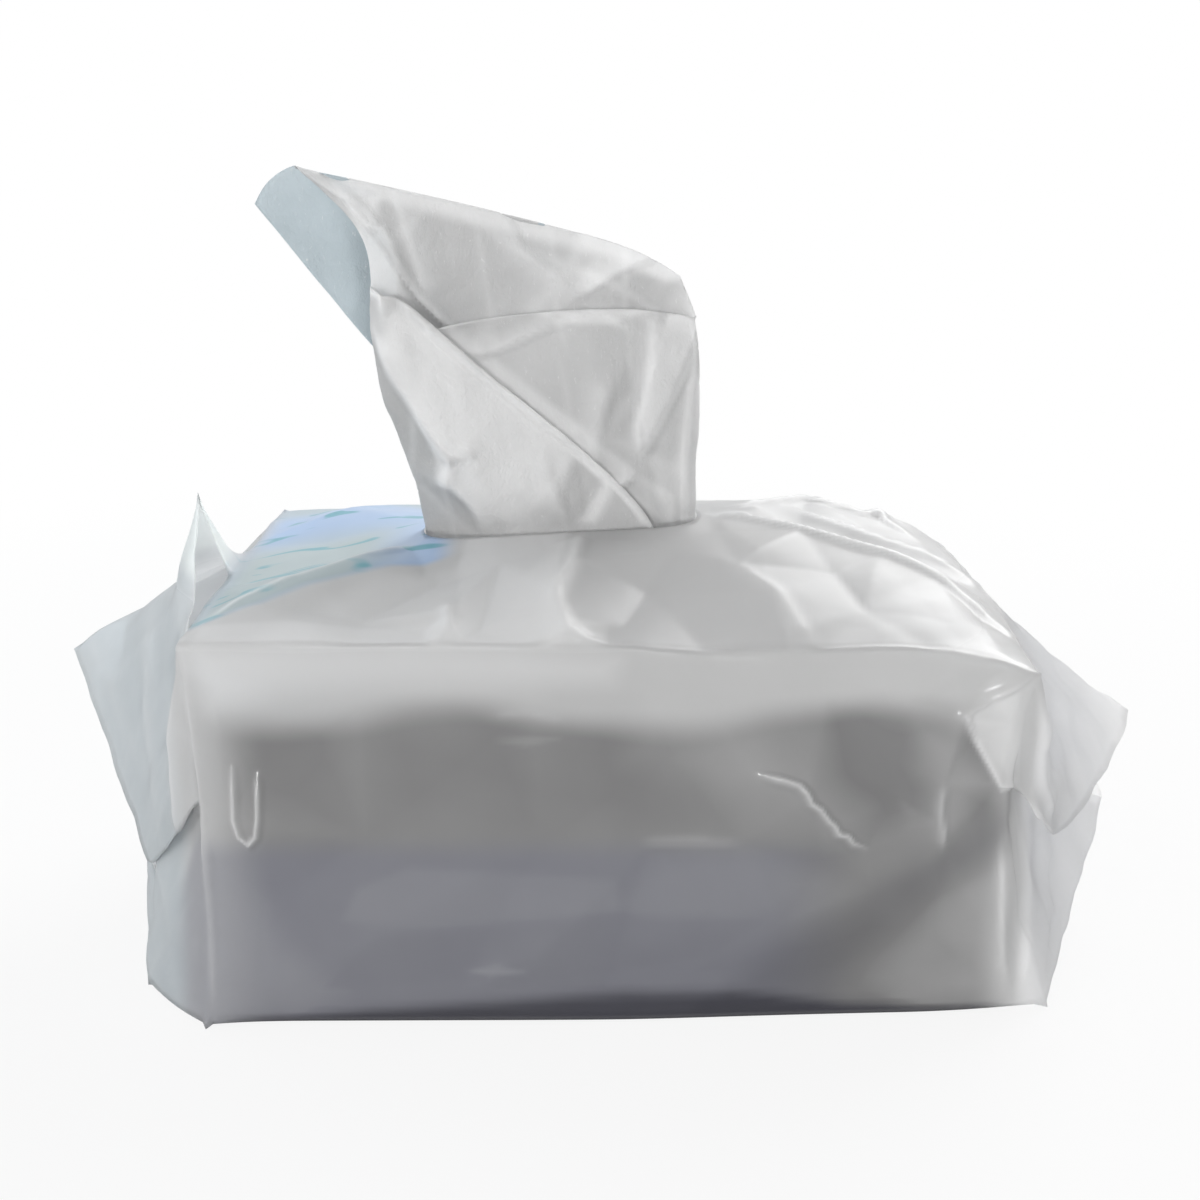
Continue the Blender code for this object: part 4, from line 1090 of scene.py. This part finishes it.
WIPE_SHADES = {
    FRONT: [
        ([(-64, 152), (-58, 151), (-54, 142), (-50, 131), (-43, 123), (-46, 119), (-44, 117), (-38, 115),
          (-36, 108), (-31, 102), (-60, 102)], 0.7, -0.42),
        ([(-48, 153.6), (-36.6, 143.4), (-17.2, 128.4), (-2.6, 115.6), (7, 105), (13, 108.5), (0, 120.5),
          (-15, 133), (-34, 148), (-46, 158)], 0.4, 1),
        ([(-51, 134), (-43, 125), (-40, 124), (-42, 121), (-45, 118), (-46, 121)], 0.8, 0.7),
        ([(-57, 162), (-48, 156), (-21, 136), (-11, 127), (-16, 115), (-29, 107), (-38, 115), (-43, 124),
          (-51, 135), (-57, 150)], 2.5, 0.55),
        ([(-3, 119), (-3, 115), (-7, 107), (-11, 107), (-7, 115)], 1.2, 0.6),
        ([(-11, 126), (-4, 121), (-7, 115), (-11, 107), (-19, 106), (-16, 115)], 1.2, -0.2),
        ([(-63, 176), (-58, 177), (-54, 170), (-57, 163), (-63, 162)], 0.9, 0.9)],
    MIDDLE: [
        ([(-50, 156), (-36, 158), (-21, 160), (-21, 155), (-32, 150), (-36, 146)], 0.9, -0.25),
        ([(0, 147), (3, 141), (2, 131), (5, 121), (11, 106), (-8, 124), (-11, 128), (-4, 141)], 1.2, -0.25),
        ([(14, 168), (16, 156), (18, 149), (10, 134), (4, 123), (3, 131), (6, 144), (10, 156)], 0.8, 0.9),
        ([(23, 147), (15.5, 141), (14.5, 126), (14.5, 106), (23, 106), (25, 131)], 0.8, 1),
        ([(-57, 170), (-35, 150), (-1, 123), (12, 113), (13, 104), (-1, 114), (-35, 141), (-57, 160)], 1.2,
          0.55),
        ([(18, 147), (11, 134), (6, 122), (12, 108), (14.5, 106), (14.5, 126), (15.5, 141)], 1.2, 0.35),
        ([(-19, 160), (-10, 158), (-3, 160), (9, 160), (-3, 156), (-13, 156)], 0.9, 0.5)],
    BACK: [
        ([(-64, 178), (-58.5, 178), (-55, 170), (-56, 162), (-64, 160)], 0.7, 1),
        ([(-11, 161), (0, 168), (13, 165), (9, 159), (-3, 160)], 1.5, -0.3),
        ([(-78, 196), (-16, 181), (5, 175), (17, 168), (10, 165), (-3, 171), (-21, 175), (-54, 183),
          (-69, 187)], 1.8, 0.6),
        ([(-71, 189), (-59, 186), (-61, 178), (-56, 167), (-51, 157), (-59, 166), (-66, 180)], 1.5, 0.6)]}


def panel_of_points(mesh):
    """The panel that each point belongs to, from its faces."""
    panels = np.zeros(len(mesh.vertices), int)
    for polygon in mesh.polygons:
        for corner in polygon.vertices:
            panels[corner] = polygon.material_index
    return panels


def wrinkle_wipe(mesh):
    """Soft swells, pulls and creases in the drawn wipe, quiet at the slot."""
    points, normals = points_of(mesh)
    x, y, z = points.T
    panels = panel_of_points(mesh)
    free = step(z, 103.0, 112.0)
    squeezed = points * np.array([1.0, 0.6, 0.55])
    broad, broad_crest = crumpled(squeezed, 19.0, 5)
    # Painted highlights: on the crumples' crests here and along every crease below
    crest_highlight = 0.2 * broad_crest * (panels != CORNER)
    move = 0.6 * rolling(points, 26.0, 4) + 0.9 * broad + 0.3 * crumpled(squeezed, 8.0, 7)[0]
    move += 0.16 * rolling(points, 6.0, 6)
    lift = np.zeros(len(points))
    for panel, creases in WIPE_CREASES.items():
        for line, height, width, side in creases:
            lift += 1.3 * (panels == panel) * fold_line(points[:, [0, 2]], line, height, width, side)
            crest_highlight += (panels == panel) * fold_line(points[:, [0, 2]], line, min(1.0, height * 0.6), width * 0.8,
                                                   side)
    # Painted light and shade on each panel
    shade = sum((panels == panel) * shade_field(points[:, [0, 2]], areas)
                for panel, areas in WIPE_SHADES.items())
    keep_values(mesh, "shade", 0.5 + shade * 0.5)
    rise = move * (0.1 + 0.9 * free)
    points = points + normals * rise[:, None]
    points[:, 1] -= lift * free

    # The turned corner keeps behind the back panel, below the fold
    corner = panels == CORNER
    below = np.interp(x, *zip(*TOP_FOLD)) - z
    points[:, 2] -= corner * (normals[:, 2] * rise + 2.0 * step(y + 0.072 * x, 3.4, 6.0))
    points[:, 1] += corner * 2.5 * step(below, 0.3, 2.5) * step(x, -68.0, -60.0)
    write_points(mesh, points)
    keep_values(mesh, "crease", crest_highlight)


# Parts of the turned corner in its painted shade: faces steeper than this, and its tip, left of this place
STEEP = 0.4
TIP = -66.0
WIPE_SHARP = 0.9


def make_drawn_wipe(settings):
    cage = Cage()
    back = drawn_back()
    left, right, corner = side_edge(back, 0), side_edge(back, 6), corner_panel(back)
    for panel, rows in enumerate((back, side_panel(left, FRONT_ROWS), side_panel(right, MIDDLE_ROWS), corner)):
        before = set(cage.mesh.faces)
        cage.grid(rows)
        for face in set(cage.mesh.faces) - before:
            face.material_index = panel
    cage.merge()
    for fold in (left, right, corner[0]):
        cage.sharpen([cage.find(point) for point in fold], WIPE_SHARP)
    cage.pin(cage.find(point) for point in (corner[0][0], corner[2][0], corner[4][0], back[-1][6]))
    mesh = cage.surface("drawn", settings.detail)
    wrinkle_wipe(mesh)
    turned = [int(face.material_index == CORNER and (abs(face.normal.z) < STEEP or face.center.x < TIP * MM))
              for face in mesh.polygons]
    bright = fabric_finish("drawn_fabric", settings.colour, settings.glow, True)
    piece = new_piece("drawn", mesh, bright, "pulled_wipe", settings.thickness)
    # A shaded copy of the fabric: painted shade and a painted blue reflection on the turned corner
    mesh.materials.append(fabric_finish("shaded_corner_fabric", settings.turned, 0.3))
    mesh.polygons.foreach_set("material_index", turned)
    return piece


# Stage

CAMERA_PLACE = (-0.006, -0.346, 0.2)
LAMP_TARGET = (0.0, 0.0, 0.07)
LAMPS = [
    ("back_soft", (0.85, 1.1, 1.1), (1.2, 1.3), 32.0, WHITE),
    ("left_sky", (-0.9, 0.45, 0.7), (0.8, 0.8), 3.5, (0.84, 0.92, 1.0)),
    ("left_front", (-0.7, -0.9, 1.0), (0.9, 0.7), 4.0, WHITE),
    ("front_fill", (-0.15, -1.3, 0.24), (0.3, 0.12), 4.5, WHITE),
    ("left_strip", (-0.95, -0.6, 0.25), (0.1, 0.5), 1.5, WHITE)]
FLOOR_REACH = 6.0
FLOOR_DROP = 0.0002
FILM_WIDTH = 36.0


def add_lamp(name, place, size, power, colour):
    data = bpy.data.lights.new(name, "AREA")
    data.shape = "RECTANGLE"
    data.size, data.size_y = size
    data.energy = power
    data.color = colour
    lamp = new_object(name, data)
    lamp.location = place
    lamp.rotation_euler = (Vector(LAMP_TARGET) - Vector(place)).to_track_quat("-Z", "Y").to_euler()


def seen_rays(finish, reflected):
    """1 for the rays that look at the backdrop, 0 for the rays that light the object."""
    rays = finish.node("ShaderNodeLightPath")
    mirrored = rays["Is Glossy Ray"] * reflected
    return (rays["Is Camera Ray"] + mirrored + rays["Is Transmission Ray"]).clamped()


def make_floor(settings):
    """A pale floor that fades to white away from the object and keeps its shadow."""
    finish = Finish("pale_floor")
    point = finish.place()
    x, y, _ = finish.parts(point)
    grain = finish.mottle(point, 6.0, 2.0)
    tone = finish.tint(grain * 0.05, settings.floor, [c * 0.98 for c in settings.floor])
    matte = finish.skin({"Base Color": tone, "Roughness": 0.9, "Specular IOR Level": 0.1})
    far = (x * x + y * y).step(0.05, 0.3)
    white = finish.node("ShaderNodeEmission", None, {"Color": WHITE, "Strength": 1.0})["Emission"]
    share = seen_rays(finish, 0.6) * (0.88 + far * 0.12)
    data = bpy.data.meshes.new("floor")
    corners = [(x * FLOOR_REACH, y * FLOOR_REACH, 0) for x, y in ((-1, -1), (1, -1), (1, 1), (-1, 1))]
    data.from_pydata(corners, [], [(0, 1, 2, 3)])
    data.materials.append(finish.end(finish.mixed(share, matte, white)))
    floor = new_object("floor", data)
    floor.location.z = -FLOOR_DROP


def make_world():
    """A soft sky, brighter above and behind the object than in front of it, on a white backdrop."""
    world = bpy.data.worlds.new("studio")
    bpy.context.scene.world = world
    world.use_nodes = True
    finish = Finish("studio", world)
    _, back, up = finish.parts(finish.place("Generated"))
    above = (up * 0.8 + back * 0.6).step(-0.6, 1.0)
    dim, sky, white = (
        finish.node("ShaderNodeBackground", None, {"Color": tone, "Strength": 1.0})["Background"]
        for tone in (FRONT_SKY, BACK_SKY, WHITE))
    whole = finish.mixed(seen_rays(finish, above), finish.mixed(above, dim, sky), white)
    out = finish.node("ShaderNodeOutputWorld")
    finish.tree.links.new(whole.socket, out.node.inputs["Surface"])


def make_stage(settings):
    make_floor(settings)
    make_world()
    data = bpy.data.cameras.new("camera")
    data.lens = settings.lens
    data.sensor_width = FILM_WIDTH
    camera = new_object("camera", data)
    camera.location = CAMERA_PLACE
    camera.rotation_euler = (math.radians(90.0) - settings.pitch, 0.0, 0.0)
    bpy.context.scene.camera = camera
    for lamp in LAMPS:
        add_lamp(*lamp)
    bpy.context.scene.view_settings.view_transform = "Standard"


# Add-on

class WIPES_OT_film(bpy.types.Operator):
    """Make the folded film with its end flaps, slot and creases"""
    bl_idname = "wipes.film"
    bl_label = "Film"

    def execute(self, context):
        make_film(context.scene.wipes_film)
        return {"FINISHED"}


class WIPES_OT_stack(bpy.types.Operator):
    """Make the stack of folded wipes"""
    bl_idname = "wipes.stack"
    bl_label = "Stack"

    def execute(self, context):
        make_stack(context.scene.wipes_stack)
        return {"FINISHED"}


class WIPES_OT_wipes(bpy.types.Operator):
    """Make the drawn wipe and the next one that holds its foot"""
    bl_idname = "wipes.wipes"
    bl_label = "Wipes"

    def execute(self, context):
        settings = context.scene.wipes_wipe
        upper = make_next_wipe(settings)
        drawn = make_drawn_wipe(settings)
        return {"FINISHED"}


class WIPES_OT_stage(bpy.types.Operator):
    """Make the floor, the soft lamps, the world and the camera"""
    bl_idname = "wipes.stage"
    bl_label = "Stage"

    def execute(self, context):
        make_stage(context.scene.wipes_stage)
        return {"FINISHED"}


class WIPES_PT_panel(bpy.types.Panel):
    """Makers and sizes of the wet wipes pack"""
    bl_idname = "WIPES_PT_panel"
    bl_label = "Wet wipes pack"
    bl_space_type = "VIEW_3D"
    bl_region_type = "UI"
    bl_category = "Wipes"

    def draw(self, context):
        scene = context.scene
        groups = ((scene.wipes_film, "wipes.film"), (scene.wipes_stack, "wipes.stack"),
                  (scene.wipes_wipe, "wipes.wipes"), (scene.wipes_stage, "wipes.stage"))
        for settings, operator in groups:
            box = self.layout.box()
            box.operator(operator)
            for name in settings.__annotations__:
                box.prop(settings, name)


CLASSES = (FilmSettings, WipeSettings, StackSettings, StageSettings,
           WIPES_OT_film, WIPES_OT_stack, WIPES_OT_wipes, WIPES_OT_stage, WIPES_PT_panel)


def register():
    for item in CLASSES:
        bpy.utils.register_class(item)
    scene = bpy.types.Scene
    scene.wipes_film = PointerProperty(type=FilmSettings)
    scene.wipes_wipe = PointerProperty(type=WipeSettings)
    scene.wipes_stack = PointerProperty(type=StackSettings)
    scene.wipes_stage = PointerProperty(type=StageSettings)


def unregister():
    scene = bpy.types.Scene
    del scene.wipes_film, scene.wipes_wipe, scene.wipes_stack, scene.wipes_stage
    for item in reversed(CLASSES):
        bpy.utils.unregister_class(item)


def main():
    register()
    bpy.ops.wipes.stack()
    bpy.ops.wipes.wipes()
    bpy.ops.wipes.film()
    bpy.ops.wipes.stage()


if __name__ == "__main__":
    main()
